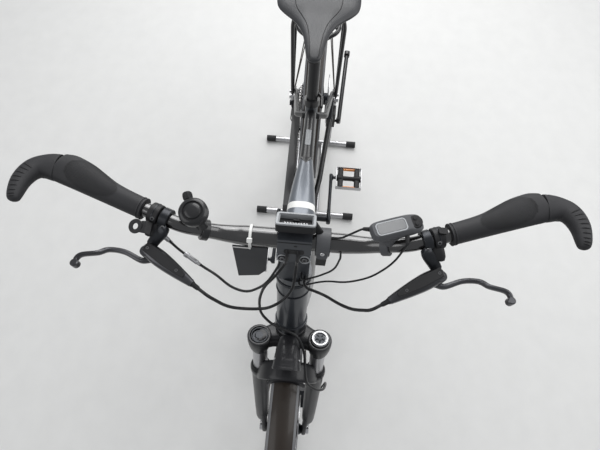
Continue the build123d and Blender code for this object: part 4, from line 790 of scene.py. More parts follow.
# %% Display
display_base = near_bar(-9, 145, 46)
display_way = Vector((-0.34, 0.94, 0)).normalized()
display_fore = display_way.cross(up).normalized()
wedge = Shape()
wedge_rows = [
    # height, centre forward, centre to the left, half length across, half depth
    (-1.5, 1.0, 2.0, 32.0, 11.0),
    (2.0, 0.0, 0.0, 37.5, 14.6),
    (8.0, 0.0, -1.0, 39.5, 15.6),
    (12.0, -0.5, -4.0, 36.0, 14.4),
    (16.5, -1.0, -9.0, 28.0, 12.0),
]
wedge.ovals([(display_base + display_fore * f + display_way * s + up * h, half, thick)
             for h, f, s, half, thick in wedge_rows], up, display_way, 40, 4.5)
foot = on_riser(clamp_side)
add_clamp(wedge, foot, riser_way, 14.2, 6)
wedge.turn([(9.0, 0), (8.0, 8), (8.0, 14), (10, 19)], foot + up * 13, Vector((-6, 6, 32)), 24)
make(wedge, "display_body", "moulded_grey", "fork", "display", bevel=0.6)
window = Shape()
window_middle = display_base - display_way * 10
window.plate(rounded(42, 16, 4), window_middle + up * 16.4, display_way, -display_fore, 1.0)
window_edge = Shape()
inside, outside = rounded(42.4, 16.4, 4.0), rounded(45.6, 19.6, 5.4)
window_edge.skin([[window_middle + up * z + display_way * x - display_fore * y for x, y in outline]
                  for outline, z in ((inside, 16.4), (inside, 17.3), (outside, 17.3), (outside, 16.4))],
                 loop=True)
make(window_edge, "display_window_edge", "moulded_silver", "fork")
make(window, "display_window", "screen_glass", "fork", bevel=0.4)
pod = Shape()
pod_middle = display_base + display_way * 27
pod.turn([(0, -3), (9.6, -3), (10.4, -2), (10.4, 3.0), (9.4, 4.4), (0, 5.2)], pod_middle + up * 11, up, 32)
for fore in (4.2, -4.2):
    pod.turn([(0, 3), (2.6, 3), (3.0, 5.4), (2.4, 6.2), (0, 6.4)],
             pod_middle + display_fore * fore + up * 11, up, 16)
make(pod, "display_keys", "soft_rubber", "fork")

# %% [markdown]
# ## Cradle for the removable display
# Behind the faceplate sits an empty cradle with a tray, two side rails and a row of contact pins. Its
# arm clips round the bar beside the stem.

# %% Cradle details
cradle_up = Vector((-0.5, 0, 0.866)).normalized()
cradle_fore = left.cross(cradle_up).normalized()
cradle_base = near_bar(-6, 0, 34)
cradle_top = 14.0


def on_cradle(height, fore=0.0, side=0.0):
    """A point by its height in the cradle, ahead of its middle and to its left."""
    return cradle_base + cradle_up * height + cradle_fore * fore + left * side


def around_cradle(width, depth, corner, height):
    """A rounded outline round the cradle at one height."""
    return [on_cradle(height, y, x) for x, y in rounded(width, depth, corner)]


rim = Shape()
rim.skin([around_cradle(59.2, 32.2, 5, cradle_top - 2.2), around_cradle(59.4, 32.4, 5, cradle_top - 0.4),
          around_cradle(58.4, 31.4, 4.6, cradle_top + 0.3), around_cradle(51.6, 24.6, 2.4, cradle_top + 0.3),
          around_cradle(50.8, 23.8, 2.0, cradle_top - 0.4), around_cradle(50.8, 23.8, 2.0, 5.2)], ends=False)
for sign in (1, -1):
    rim.tube([on_cradle(11.5, y, sign * 25.2) for y in (-11, -5, 5, 11)], 1.3, 12)
make(rim, "cradle_rim", "moulded_silver", "fork", crease=30)
pins = Shape()
for side in range(-16, 17, 4):
    pins.plate(rounded(2.2, 9, 0.6, 2), on_cradle(5.2, 6.5, side), left, cradle_fore, -3.6)
make(pins, "cradle_contacts", "bright_steel", "fork")
seat = Shape()
seat.plate(rounded(44, 13, 2), on_cradle(5.05, 5.5), left, cradle_fore, -1.2)
seat.plate(rounded(10, 5, 1), on_cradle(5.05, -7.5), left, cradle_fore, -3.0)
make(seat, "cradle_socket", "moulded_black", "fork", bevel=0.3)
clamp_middle = near_bar(0, 43, 0)
arm = Shape()
arm.ovals([(clamp_middle + left * y, r, r) for y, r in (
    (-11.2, 20.6), (-10.2, 22.2), (10.2, 22.2), (11.2, 20.6))], left, ahead, 40, 2)
arm.ovals([(clamp_middle + Vector((x, 0, z)), half, thick) for x, z, half, thick in (
    (15, 4, 9.5, 14), (21, 2, 9.0, 12.5), (22.6, 2, 7.6, 10.6))], steer_front, left, 24, 4)
make(arm, "cradle_clamp", "moulded_grey", "fork", crease=34)
arm_screw = Shape()
add_bolt(arm_screw, clamp_middle + Vector((22.4, 0, 6)), steer_front, 0.8)
make(arm_screw, "cradle_clamp_screw", "bright_steel", "fork")

# %% [markdown]
# ## Faceplate
# Two screws clamp the bar behind a faceplate, and two hoses leave it and run down in front of it. A
# bright bead along its lower corners and a bright ring round each pocket paint the highlights on its
# edges. The screws sit in round pockets at its foot. The pockets, the hoses' opening and a small slot
# are thin dark plates set into its face that paint the shade a cut would hold, which is simpler than
# cutting the solid and looks alike; the thin dark line across its top is a seam.

# %% Faceplate screws, slots and hoses
bar_along = (bar_middle - steer_foot).dot(steer_up)
bar_forward = (bar_middle - steer_foot).dot(steer_front)
plate_face = bar_forward + 25.2


def on_plate(rise, side, out=0.0):
    """A point on the faceplate's front by its height and side."""
    return on_fork(bar_along + rise, plate_face + out, side)


plate_bolts, recess_shade_and_seam, plate_edge_highlights = Shape(), Shape(), Shape()
screw_rise = -17
# Round each screw, a bright ring paints the highlight on the pocket's rim and a dark disc paints the pocket's
# shade.
for side in (-17, 17):
    plate_edge_highlights.turn([(8.6, -1.0), (8.6, 0.6), (8.0, 1.2), (7.0, 1.2), (6.6, 0.2)], on_plate(screw_rise, side),
                    steer_front, 30)
    recess_shade_and_seam.turn([(6.9, -1.0), (6.9, 0.3), (0, 0.3)], on_plate(screw_rise, side), steer_front, 30)
    add_bolt(plate_bolts, on_plate(screw_rise, side, 0.1), steer_front, 1.0)
# Dark plates paint the shade in the hoses' opening and the small slot; the long thin one is a dark seam.
for width, height, corner, rise, side in ((31, 9, 3.5, -1, 0), (5, 2.2, 1, 11.5, 2), (51, 1.2, 0.5, 18, 0)):
    recess_shade_and_seam.plate(rounded(width, height, corner), on_plate(rise, side, -0.6), left, steer_up, 0.9)
# A bright bead along each lower corner paints the highlight on the faceplate's edge.
for sign in (1, -1):
    plate_edge_highlights.tube(flowing_path([on_plate(rise, sign * side, out) for rise, side, out in (
        (-6, 25.6, -0.8), (-15, 25.8, 0.2), (-21.5, 23, 0.4), (-24.6, 14, 0.3))]), 1.1, 12)
make(plate_bolts, "faceplate_screws", "dark_steel", "fork")
make(recess_shade_and_seam, "faceplate_recess_shade_and_seam", "moulded_black", "fork")
hose_heads = Shape()
for side, foot in ((-10.5, -13), (6.5, 5)):
    hose_heads.tube(flowing_path([on_plate(2, side, -1.5), on_plate(-4, side, 2.0), on_plate(-14, side, 2.7),
                                  on_plate(-22, side * 0.6 + foot * 0.4, 1.8), on_plate(-34, foot, -6.0),
                                  on_plate(-42, foot, -8.6)]), 2.5, 14)
make(hose_heads, "hose_heads_in_faceplate", "hose_black", "fork")
make(plate_edge_highlights, "faceplate_edge_highlights", "moulded_silver", "fork")

# %% [markdown]
# ## Headlight
# A bullet shaped lamp hangs in front of the crown. Its body widens to a flat lip, with a clear lens
# and a bright bowl behind it, and small reflectors in its corners.

# %% Headlight
light_base = on_fork(464, 38.0)
light_shape = Shape()
light_rows = flowing([
    # place ahead, half width, half height
    (0.3, 12.0, 12.0),
    (3.0, 17.5, 17.0),
    (12.0, 21.2, 20.4),
    (28.0, 24.0, 22.6),
    (46.0, 26.4, 24.0),
    (56.0, 27.2, 24.4),
], 4)
light_level = Vector((0.985, 0, -0.17))


def light_way(place):
    """The lamp's rings turn from the steering line's front to level, so its lens looks at the road."""
    share = max(0.0, min(1.0, (place - 6) / 44))
    return (steer_front * (1 - share) + light_level * share).normalized()


light_droop = 0.0022


def light_ring(place, half, thick, square=3.2):
    """One ring of the lamp: its middle sinks as it comes forward."""
    middle = light_base + steer_front * place - steer_up * (light_droop * place ** 2)
    return oval(middle, light_way(place), left, half, thick, 40, square)


light_shape.skin([light_ring(*row) for row in light_rows])
light_shape.ovals([(on_fork(446, front), 10, 6) for front in (36.4, 46, 58, 64)], steer_front, left, 24, 4)
light_shape.skin([light_ring(*row, 3.4) for row in (
    (55.8, 27.4, 24.8), (57, 28, 25), (61.4, 28, 25), (62, 27.4, 24.4), (62, 24.5, 21.6), (56.5, 22, 19.6))])
make(light_shape, "headlight_body", "fork_black", "fork", "headlight", crease=40)
lens = Shape()
lens.skin([light_ring(*row, 3.4) for row in (
    (57.2, 24.2, 21.4), (59.6, 24.2, 21.4), (60.6, 20, 17), (61.0, 8, 7), (61.1, 0.5, 0.5))])
make(lens, "headlight_lens", "clear_lens", "fork")
bowl = Shape()
bowl.turn([(0, 0), (6, 0.3), (12, 1.8), (17, 5)],
          light_base + steer_front * 50 - steer_up * 6, light_level, 32)
for sign in (1, -1):
    corner = light_base + steer_front * 51 + left * (sign * 23.4) + steer_up * 9.6
    bowl.turn([(0, 0), (2.0, 0), (2.0, 1.0), (0, 1.4)], corner, steer_up + left * (sign * 0.9), 14)
make(bowl, "headlight_bowl", "bright_aluminium", "fork")

# %% [markdown]
# ## Fork caps
# The left leg carries a silver knob that sets the damping, with a black star wheel in its middle. The
# right leg ends in an air valve under a low cap in a dark recess.

# %% Fork caps
cap_seat = 444.8
silver = Shape()
knob_seat = on_fork(cap_seat, leg_ahead, leg_side)
silver.turn([(18.2, 0.2), (18.2, 12.5), (17.6, 14.2), (16.4, 15.6), (14.6, 15.9), (12.6, 15.2), (12.0, 12.6),
             (0, 12.6)], knob_seat, steer_up, 56)
make(silver, "fork_knob_ring", "bright_aluminium", "fork", "fork_caps")
star = Shape()
star.turn([(0, 12.7), (11.4, 12.7), (11.4, 13.6), (0, 13.8)], knob_seat, steer_up, 40)
star.turn([(0, 13.6), (4.8, 13.6), (4.4, 15.6), (0, 15.9)], knob_seat, steer_up, 24)
for a in angles(5):
    out = steer_front * math.cos(a) + left * math.sin(a)
    star.tube([knob_seat + steer_up * 14 + out * r for r in (2, 6, 9.6)], [1.9, 1.7, 1.2], 10)
air_seat = on_fork(cap_seat, leg_ahead, -leg_side)
star.turn([(18.2, 0.2), (18.2, 6.2), (17.2, 7.4), (15.4, 7.6), (14.6, 6.4), (14.4, 3.6), (9.2, 3.6),
           (9.0, 6.6), (7.8, 7.6), (0, 7.8)], air_seat, steer_up, 48)
make(star, "fork_cap_centres", "anodised_black", "fork")
valve = Shape()
valve.turn([(9.9, 3.7), (9.9, 4.6), (9.3, 5.0), (9.1, 3.7)], air_seat, steer_up, 40)
make(valve, "fork_valve_ring", "dark_steel", "fork")

# %% [markdown]
# ## Crown and lower legs
# The forged crown has a round socket for each leg that tapers down to the stanchion, and a scooped
# arm from each socket to the middle. Rings are skinned along the line of each arm, so the shoulders
# flow as a forging does.

# %% Fork crown
crown_bottom = 413.0
crown = Shape()
for sign in (1, -1):
    crown.turn([(16.2, -9), (17.4, -9), (18.6, -6), (21.2, 2), (23.6, 14), (24.8, 26), (25.0, 37),
                (24.4, 39.4), (22.6, 40.2), (19.8, 40.0), (19.2, 38.6), (19.0, 31.4), (0, 31.2)],
               on_fork(crown_bottom, leg_ahead, sign * leg_side), steer_up, 56)
    arm_rows = flowing([
        # place to the side, ahead, along the steering line, half width, half height
        (6.0, 8.0, 433.0, 27.5, 19.6),
        (20.0, 9.0, 433.0, 27.0, 19.6),
        (33.0, 13.0, 433.4, 24.5, 18.6),
        (44.0, 19.0, 433.6, 22.5, 18.2),
        (54.0, 25.0, 434.0, 22.5, 18.4),
        (leg_side, leg_ahead, 434.0, 22.0, 18.4),
    ], 4)
    crown.ovals([(on_fork(z, x, sign * y), w, h) for y, x, z, w, h in arm_rows],
                left * sign, steer_front, 32, 3.4)
crown.turn([(14.4, -9), (24, -9), (27.5, -6), (28.0, 24), (30, 30), (32.0, 36), (32.4, 50), (30.5, 51.6),
            (14.4, 51.8)], on_fork(crown_bottom), steer_up, 56)
crown.turn([(14.3, 40), (14.3, 330)], on_fork(crown_bottom), steer_up, 36)
make(crown, "crown_casting", "fork_black", "fork", "fork_crown", crease=34)

# %% [markdown]
# The cast lower legs are joined by an arch that rises over the tyre. One half of the arch is written
# down, and the other half is the same rows read backwards, so both sides match.

# %% Lower legs and arch
lowers_top = 326
dropout_rows = ((-15, 43.5, 54, 8), (-12, 44, 54, 12), (8, 44, 54, 16), (36, 37, 55, 17), (70, 29, 57, 14),
                (96, leg_ahead, 58, 10))
legs = Shape()
for sign in (1, -1):
    legs.turn([(7, 26), (11, 29), (14.5, 36), (16.4, 50), (17.6, 110), (18.8, 200), (20.2, 292), (20.5, 304),
               (22.2, 310), (22.5, 314), (22.5, 324), (21.6, lowers_top), (16.3, lowers_top)],
              on_fork(0, leg_ahead, sign * leg_side), steer_up, 48)
    legs.ovals([(on_fork(z, x, sign * y), w, 6.0) for z, x, y, w in dropout_rows],
               steer_up, steer_front, 24, 4)
arch_rows = flowing([
    # place to the side, ahead, along the steering line, half width of the band, half thickness
    (60.0, 34.0, 300.0, 14.0, 7.0),
    (61.0, 42.0, 322.0, 17.0, 6.5),
    (56.0, 52.0, 345.0, 18.5, 6.0),
    (46.0, 60.0, 364.0, 19.5, 6.0),
    (30.0, 65.5, 378.5, 20.5, 6.0),
    (12.0, 67.5, 384.0, 21.0, 6.0),
    (0.0, 68.0, 385.0, 21.0, 6.0),
], 5)
arch_rows += [(-y, x, z, w, t) for y, x, z, w, t in reversed(arch_rows[:-1])]
arch_middles = [on_fork(z, x, y) for y, x, z, w, t in arch_rows]
slope = (steer_front * 0.95 - steer_up * 0.31).normalized()
arch_rings = []
for i, row in enumerate(arch_rows):
    arch_rings.append(oval(arch_middles[i], heading_at(arch_middles, i), slope, row[3], row[4], 28, 4.5))
legs.skin(arch_rings)
legs.ovals([(on_fork(z, 84 + 0.02 * abs(y), y), h, 3.0) for y, z, h in (
    (-40, 356, 5), (-30, 366, 9), (0, 372, 10), (30, 366, 9), (40, 356, 5))], left, steer_up, 16, 3)
make(legs, "lower_legs_casting", "fork_black", "fork", "fork_lowers", crease=34)

# %% [markdown]
# ## Shifter pods
# Beside each lever sits a small ring clamp with a rounded pod under the bar. The right pod carries a
# trigger tab with a round thumb hole, and the left one a single key. They are built from oval rings,
# and the tab is a flat ring bent out of the pod.

# %% Pods, keys and the trigger tab
pods, pod_keys, pod_rims = Shape(), Shape(), Shape()
pod_rows = (
    # out from the bar, to the side, half width, half thickness
    (8, 0, 8.5, 9),
    (16, 0, 11.5, 11),
    (25, 1, 13.0, 11.5),
    (31, 2, 11.5, 10),
    (33, 2, 8.5, 7),
)
left_pod = on_bar(207)
right_pod = mirrored(left_pod)
out = Vector((0.86, 0, -0.5)).normalized()
for sign, place, way in ((1, left_pod, grip_way), (-1, right_pod, mirrored(grip_way))):
    add_clamp(pods, place, way, 11.3, 8, 16.4, 1.2, 44)
    pods.ovals([(place + out * s + left * (sign * y), w, t) for s, y, w, t in pod_rows], out, left, 32, 3.6)
    pod_rims.turn([(16.2, -1.1), (16.9, -0.7), (16.9, 0.7), (16.2, 1.1)], place, way, 44)
    add_bolt(pod_keys, place + Vector((12, 0, 10.6)), Vector((0.75, 0, 0.66)), 0.7)
tab_middle = right_pod + Vector((25, -22, 8))
tab_up = Vector((0.25, -0.2, 0.95)).normalized()
tab_side, tab_other = square_to(tab_up)
tab_rings = []
for radius, lift in ((4.6, -1.4), (10.4, -1.4), (10.9, 0), (10.4, 1.4), (4.6, 1.4)):
    tab_rings.append([tab_middle + (tab_side * math.cos(a) + tab_other * math.sin(a)) * radius + tab_up * lift
                      for a in angles(36)])
pods.skin(tab_rings, loop=True)
pods.ovals([(tab_middle + left * 7, 9, 1.5), (tab_middle + left * 15, 10, 1.5),
            (tab_middle + left * 22 - up * 5, 11, 1.5)], left, ahead, 16, 4)
pods.ovals([(left_pod + Vector((x, 3, z)), 6.5, 5.0) for x, z in ((-4, 12), (-4, 18), (-3, 21))],
           up, left, 20, 4)
make(pods, "shifter_pods", "moulded_black", "fork", "bar_controls", bevel=0.4)
make(pod_rims, "shifter_rims", "anodised_black", "fork")
make(pod_keys, "shifter_screws", "dark_steel", "fork")

# %% [markdown]
# ## Adjusters, boots and tie
# The gear cable passes two bright adjusters on its way from the shifter, and a soft boot guards the end
# of the display's lead. A pale tie with a square lock holds the bare card tag, and its loose end lies
# along the tag's edge.

# %% Cable adjusters, lead boots and tie
adjusters = Shape()
for start, end in ((near_bar(16, -200, 11), near_bar(23, -187, -1)),
                   (near_bar(36, -166, -7.6), near_bar(52, -139, -6.4))):
    way = end - start
    adjusters.turn([(3.0, 0), (4.4, 0.8), (4.4, 6), (3.6, 7), (3.6, way.length - 7), (2.8, way.length - 6),
                    (2.6, way.length)], start, way, 18)
lead_boot = Shape()
lead_boot.turn([(1.7, -2), (2.6, -1), (3.4, 8), (4.2, 12), (4.2, 16)], near_bar(-3, 98, 53), left, 16)
lead_boot.turn([(1.7, -2), (2.6, -1), (3.2, 6), (3.6, 12)], near_bar(13, 160, 52), -ahead, 16)
make(lead_boot, "display_lead_boots", "soft_rubber", "fork")
make(adjusters, "cable_adjusters", "bright_aluminium", "fork", crease=30)
tie_middle = near_bar(0, -68, 0)
tie = Shape()
tie.turn([(16.2, -2.1), (18.1, -2.1), (18.1, 2.1), (16.2, 2.1)], tie_middle, left, 48)
tie.plate(rounded(8, 7, 1), tie_middle + Vector((12.5, 0, 13.2)), left, Vector((0.69, 0, -0.72)), -4)
tie.plate(rounded(3.2, 22, 0.8), tie_middle + Vector((18.0, -1, -8)), left, Vector((0.2, 0.05, -1)), 1.2)
tie.plate(rounded(26, 2.4, 1), tie_middle + Vector((16.8, -14, -8.2)), left, up, 1.4)
make(tie, "tag_tie", "white_plastic", "fork", bevel=0.2)

# %% [markdown]
# ## Saddle
# The saddle is a foam pad under a stretched cover: broad wings behind, a slim nose in front, and a
# shallow channel along its middle. Rings follow the table of its widths, the channel presses the top
# down between two soft ridges, and one level of subdivision pulls the cover smooth and tight.

# %% Saddle pad
saddle_middle = bracket + seat_up * 677.0
saddle_rows = flowing([
    # place ahead, half width, top, thickness, depth of the middle channel
    (-141.0, 42.0, 42.0, 26.0, 1.0),
    (-135.0, 64.0, 46.0, 32.0, 2.0),
    (-118.0, 86.0, 48.6, 36.0, 3.0),
    (-88.0, 95.0, 48.4, 36.0, 3.6),
    (-55.0, 98.0, 46.0, 34.0, 4.0),
    (-25.0, 98.0, 43.0, 31.0, 4.2),
    (-4.0, 93.5, 40.2, 28.0, 4.2),
    (12.0, 80.0, 37.8, 26.5, 4.0),
    (25.0, 64.0, 36.2, 25.0, 3.6),
    (44.0, 45.0, 34.6, 23.5, 2.8),
    (66.0, 33.0, 33.6, 22.5, 2.0),
    (88.0, 26.5, 33.0, 21.5, 1.2),
    (118.0, 21.0, 30.8, 19.0, 0.6),
    (134.0, 18.0, 28.4, 16.5, 0.2),
    (143.0, 13.5, 26.0, 13.0, 0.0),
    (147.0, 8.0, 23.6, 8.0, 0.0),
], 3)


def saddle_ring(row, count=40):
    """One ring of the saddle: a domed top with a channel, sides that curl in and a flat base."""
    place, half, top, thick, channel = row
    ring = []
    for a in angles(count):
        c, s = math.cos(a), math.sin(a)
        y = half * math.copysign(abs(c) ** 0.75, c)
        if s >= 0:
            z = top - thick * 0.42 * (1 - s ** 0.8)
            z -= channel * math.exp(-(y / (0.16 * half + 3.0)) ** 2)
        else:
            z = top - thick * 0.42 - thick * 0.58 * abs(s) ** 0.9
            y *= 1 - 0.22 * abs(s)
        ring.append(saddle_middle + Vector((place, y, z)))
    return ring


pad = Shape()
pad.skin([saddle_ring(row) for row in saddle_rows])
saddle_pad = make(pad, "saddle_pad", "saddle_cover", "frame", "saddle", level=1, crease=180)

# %% [markdown]
# Two seams run from the nose to the wings where the top panel meets the side panels. Each is a fine
# raised cord that lies on the rings' own points, so it follows every curve of the pad.

# %% Saddle seams and base
seams = Shape()
for index in (7, 13):
    line = [saddle_ring(row)[index] + up * 0.3 for row in saddle_rows[3:-4]]
    seams.tube(line, 0.7, 8)
make(seams, "saddle_seams", "soft_rubber", "frame")
base = Shape()
base.ovals([(saddle_middle + Vector((place, 0, top - thick - 1.0)), half * 0.74, 2.4)
            for place, half, top, thick, channel in saddle_rows[2:-3]], ahead, left, 24, 3.0)
make(base, "saddle_base", "moulded_black", "frame")

# %% [markdown]
# ## Tyres
# A city tyre is a smooth carcass with shallow rubber blocks on its crown and shoulders. The carcass is
# turned two millimetres under the full size, and rows of small blocks bring it back to that size, so
# the grooves are real and catch shadow. Each row is one outline that is copied round the wheel.

# %% Tyre carcass and tread blocks
tyre_heart, tyre_section, groove = 332.5, 24.5, 2.0
bead_angle, shoulder_angle, shoulder_blend = 126, 58, 22
rim_outer, rim_inner, rim_half = 318.0, 294.0, 14.0
TREAD_ROWS = (
    # corners of one block: degrees across the section, share of the pitch round the wheel
    ((-9, 0.10), (0, 0.30), (9, 0.10), (9, 0.62), (0, 0.84), (-9, 0.62)),
    ((12, 0.05), (25, 0.22), (25, 0.66), (12, 0.50)),
    ((29, 0.28), (45, 0.45), (45, 0.98), (29, 0.80)),
    ((48.5, 0.55), (60, 0.62), (60, 1.04), (48.5, 0.98)),
)
tread_blocks, block_taper = 84, 0.09


def on_tyre(axle, around, across, radius):
    """A point on the tyre by degrees round the wheel and degrees across its section."""
    lean = math.radians(across)
    return polar(axle, tyre_heart + radius * math.cos(lean), around, radius * math.sin(lean))


def add_tyre(axle, name, body):
    """A smooth carcass, grooved down under the tread and full on its walls, and the tread's blocks."""
    carcass = Shape()
    rings = []
    for step in range(180):
        ring = []
        for across in range(-bead_angle, bead_angle + 1, 9):
            wall = min(1.0, max(0.0, (abs(across) - shoulder_angle) / shoulder_blend))
            ring.append(on_tyre(axle, step * 2, across, tyre_section - groove * (1 - wall) - 0.15))
        rings.append(ring)
    carcass.skin(rings, loop=True)
    for across in (84, 112, -84, -112):
        carcass.skin([oval(on_tyre(axle, a, across, tyre_section - 0.5), tangent(axle, a), left, 0.6, 0.6, 6)
                      for a in range(0, 360, 3)], loop=True)
    make(carcass, name + "_carcass", "tyre_rubber", body, name, crease=60)
    tread = Shape()
    pitch = 360 / tread_blocks
    for block in range(tread_blocks):
        for row in TREAD_ROWS:
            for side in ((1,) if row is TREAD_ROWS[0] else (1, -1)):
                shift = 0.0 if side > 0 else 0.5
                corners = [(side * a, (block + share + shift) * pitch) for a, share in row]
                middle = [sum(values) / len(corners) for values in zip(*corners)]
                top = [[value + (centre - value) * block_taper for value, centre in zip(corner, middle)]
                       for corner in corners]
                tread.skin([[on_tyre(axle, b, a, tyre_section - groove - 0.8) for a, b in corners],
                            [on_tyre(axle, b, a, tyre_section - 0.5) for a, b in corners],
                            [on_tyre(axle, b, a, tyre_section - 0.05) for a, b in top]])
    make(tread, name + "_tread", "tyre_rubber", body, crease=30)


for axle, name, body in ((front_axle, "front_tyre", "front_wheel"), (rear_axle, "rear_tyre", "rear_wheel")):
    add_tyre(axle, name, body)

# %% [markdown]
# ## Nipples and valves
# Each spoke screws into a small nipple that stands out of the rim, and a valve stands out at one
# place. They are turned forms, set along the line of their own spoke.

# %% Spoke nipples and valves
spoke_step, spoke_cross, flange_half = 22.5, 67.5, 3.4
valve_angle = 247
for axle, flanges, flange_radius, body in ((front_axle, (27.0, -33.0), 26.0, "front_wheel"),
                                           (rear_axle, (33.0, -21.0), 29.0, "rear_wheel")):
    nipples = Shape()
    for sign, flange in zip((1, -1), flanges):
        for pair in range(8):
            first = 2 * spoke_step * pair + (spoke_step / 2 if sign < 0 else 0)
            for lean, start in ((1, first), (-1, first + spoke_step)):
                hub_end = polar(axle, flange_radius - 3, start, flange + lean * flange_half)
                rim_end = polar(axle, rim_inner - 0.3, start + lean * spoke_cross, sign * 4)
                nipples.turn([(2.4, -1.5), (2.2, 3), (1.9, 11), (1.3, 12)], rim_end, hub_end - rim_end, 8)
    make(nipples, body + "_nipples", "bright_steel", body)
    valve = Shape()
    foot = polar(axle, rim_inner + 1, valve_angle)
    valve.turn([(4.6, 0), (4.6, 2.4), (3.4, 3.4), (3.2, 14), (3.9, 14.5), (3.9, 25), (3.2, 27), (0, 27.4)],
               foot, axle - foot, 18)
    make(valve, body + "_valve", "soft_rubber", body)
    lines = Shape()
    for side in (1, -1):
        for radius in (rim_outer - 3.0, rim_outer - 11.6):
            lines.skin([oval(polar(axle, radius, a, side * (rim_half - 0.35)), tangent(axle, a), left,
                             0.5, 0.5, 6) for a in range(0, 360, 3)], loop=True)
    make(lines, body + "_rim_edges", "bright_aluminium", body)

# %% [markdown]
# ## Brake discs
# A brake disc is a steel ring pierced by rows of holes, on curved arms. The ring is made of small
# cells with one hole each, so every hole is open. The arms lean with the turning wheel.

# %% Brake discs
rotor_radius, rotor_half = 90.0, 0.9
hole_ring, hole_count, hole_radius = (75.0, 82.5, rotor_radius), 40, 2.3


def add_pierced_ring(shape, axle, side, inner, outer, cells, hole, twist):
    """A flat ring of cells with a round hole in each."""
    for cell in range(cells):
        frame_points, hole_points = [], []
        for a in angles(16):
            c, s = math.cos(a), math.sin(a)
            reach = max(abs(c), abs(s))
            share_in, share_round = 0.5 + 0.5 * c / reach, 0.5 + 0.5 * s / reach
            radius = inner + (outer - inner) * share_in
            frame_points.append((radius, (cell + share_round + twist * share_in) * 360 / cells))
            middle = (inner + outer) / 2
            turn = (cell + 0.5 + twist * 0.5) * 360 / cells
            hole_points.append((middle + hole * c, turn + math.degrees(hole * s / middle)))
        rings = []
        for face, outline in ((-1, hole_points), (-1, frame_points), (1, frame_points), (1, hole_points)):
            rings.append([polar(axle, r, turn, side + face * rotor_half) for r, turn in outline])
        shape.skin(rings, loop=True)


for axle, side, name, body in ((front_axle, 37.0, "front_rotor", "front_wheel"),
                               (rear_axle, 52.0, "rear_rotor", "rear_wheel")):
    disc = Shape()
    for inner, outer in zip(hole_ring, hole_ring[1:]):
        add_pierced_ring(disc, axle, side, inner, outer, hole_count, hole_radius, 0.3)
    for start in range(0, 360, 72):
        path = flowing([(27, start), (42, start + 3), (60, start + 10), (76, start + 21)], 4)
        disc.skin([oval(polar(axle, r, turn, side), polar(axle, 1, turn + 8) - axle, left,
                        rotor_half, 4.4, 8, 6) for r, turn in path])
    disc.skin([[polar(axle, r, a, side + f * rotor_half) for a in range(0, 360, 6)]
               for f, r in ((-1, 18), (-1, 29), (1, 29), (1, 18))], loop=True)
    make(disc, name + "_disc", "brushed_steel", body, name, crease=30)
    bolts = Shape()
    for i in range(6):
        bolts.turn([(3.8, 0), (3.8, 1.4), (3.0, 2.0), (1.6, 2.0), (1.4, 0.9), (0, 0.9)],
                   polar(axle, 22.3, i * 60, side + rotor_half), left, 14)
    make(bolts, name + "_bolts", "dark_steel", body)

# %% [markdown]
# ## Chain and teeth
# A chain is a row of links: two plates with waists, and rollers between them. The path runs tangent
# from disc to disc, so the same path gives every link its place, and outer and inner plates alternate.

# %% The chain's path
chain_line, chain_pitch = -50.0, 12.7
CHAIN_DISCS = (
    # centre, radius, turn
    (bracket, 85.0, 1),
    (rear_axle, 43.5, 1),
    (rear_axle + Vector((18, 0, -74)), 20.0, -1),
    (rear_axle + Vector((42, 0, -142)), 20.0, 1),
)


def belt_path(discs, step=2.0):
    """Points along a closed belt that runs round discs."""
    leaves, arrives, path = [], [], []
    for i, (c0, r0, s0) in enumerate(discs):
        c1, r1, s1 = discs[(i + 1) % len(discs)]
        way = c1 - c0
        heading = math.atan2(way.z, way.x) - math.asin((s1 * r1 - s0 * r0) / way.length)
        normal = Vector((-math.sin(heading), 0, math.cos(heading)))
        leaves.append(c0 - normal * s0 * r0)
        arrives.append(c1 - normal * s1 * r1)
    for i, (centre, radius, turn) in enumerate(discs):
        start, end = arrives[i - 1] - centre, leaves[i] - centre
        first, last = math.atan2(start.z, start.x), math.atan2(end.z, end.x)
        swept = (turn * (last - first)) % (2 * math.pi)
        count = max(4, int(swept * radius / step))
        for k in range(count):
            a = first + turn * swept * k / count
            path.append(centre + Vector((math.cos(a), 0, math.sin(a))) * radius)
        run = arrives[i] - leaves[i]
        count = max(2, int(run.length / step))
        path += [leaves[i] + run * k / count for k in range(count)]
    return path


def even_steps(path, pitch):
    """Points at an even pitch on a closed path."""
    lengths = [(path[(i + 1) % len(path)] - p).length for i, p in enumerate(path)]
    count = round(sum(lengths) / pitch / 2) * 2
    gap, made, walked = sum(lengths) / count, [], 0.0
    for i, length in enumerate(lengths):
        while len(made) < count and len(made) * gap <= walked + length:
            share = (len(made) * gap - walked) / length
            made.append(path[i].lerp(path[(i + 1) % len(path)], share))
        walked += length
    return made


pins_of_chain = even_steps(belt_path(CHAIN_DISCS), chain_pitch)
print(len(pins_of_chain), "chain links")

# %% [markdown]
# Each plate is a flat outline with a waist, laid from one pin to the next. All links are collected in
# one mesh, because hundreds of objects would make the scene slow for no gain.

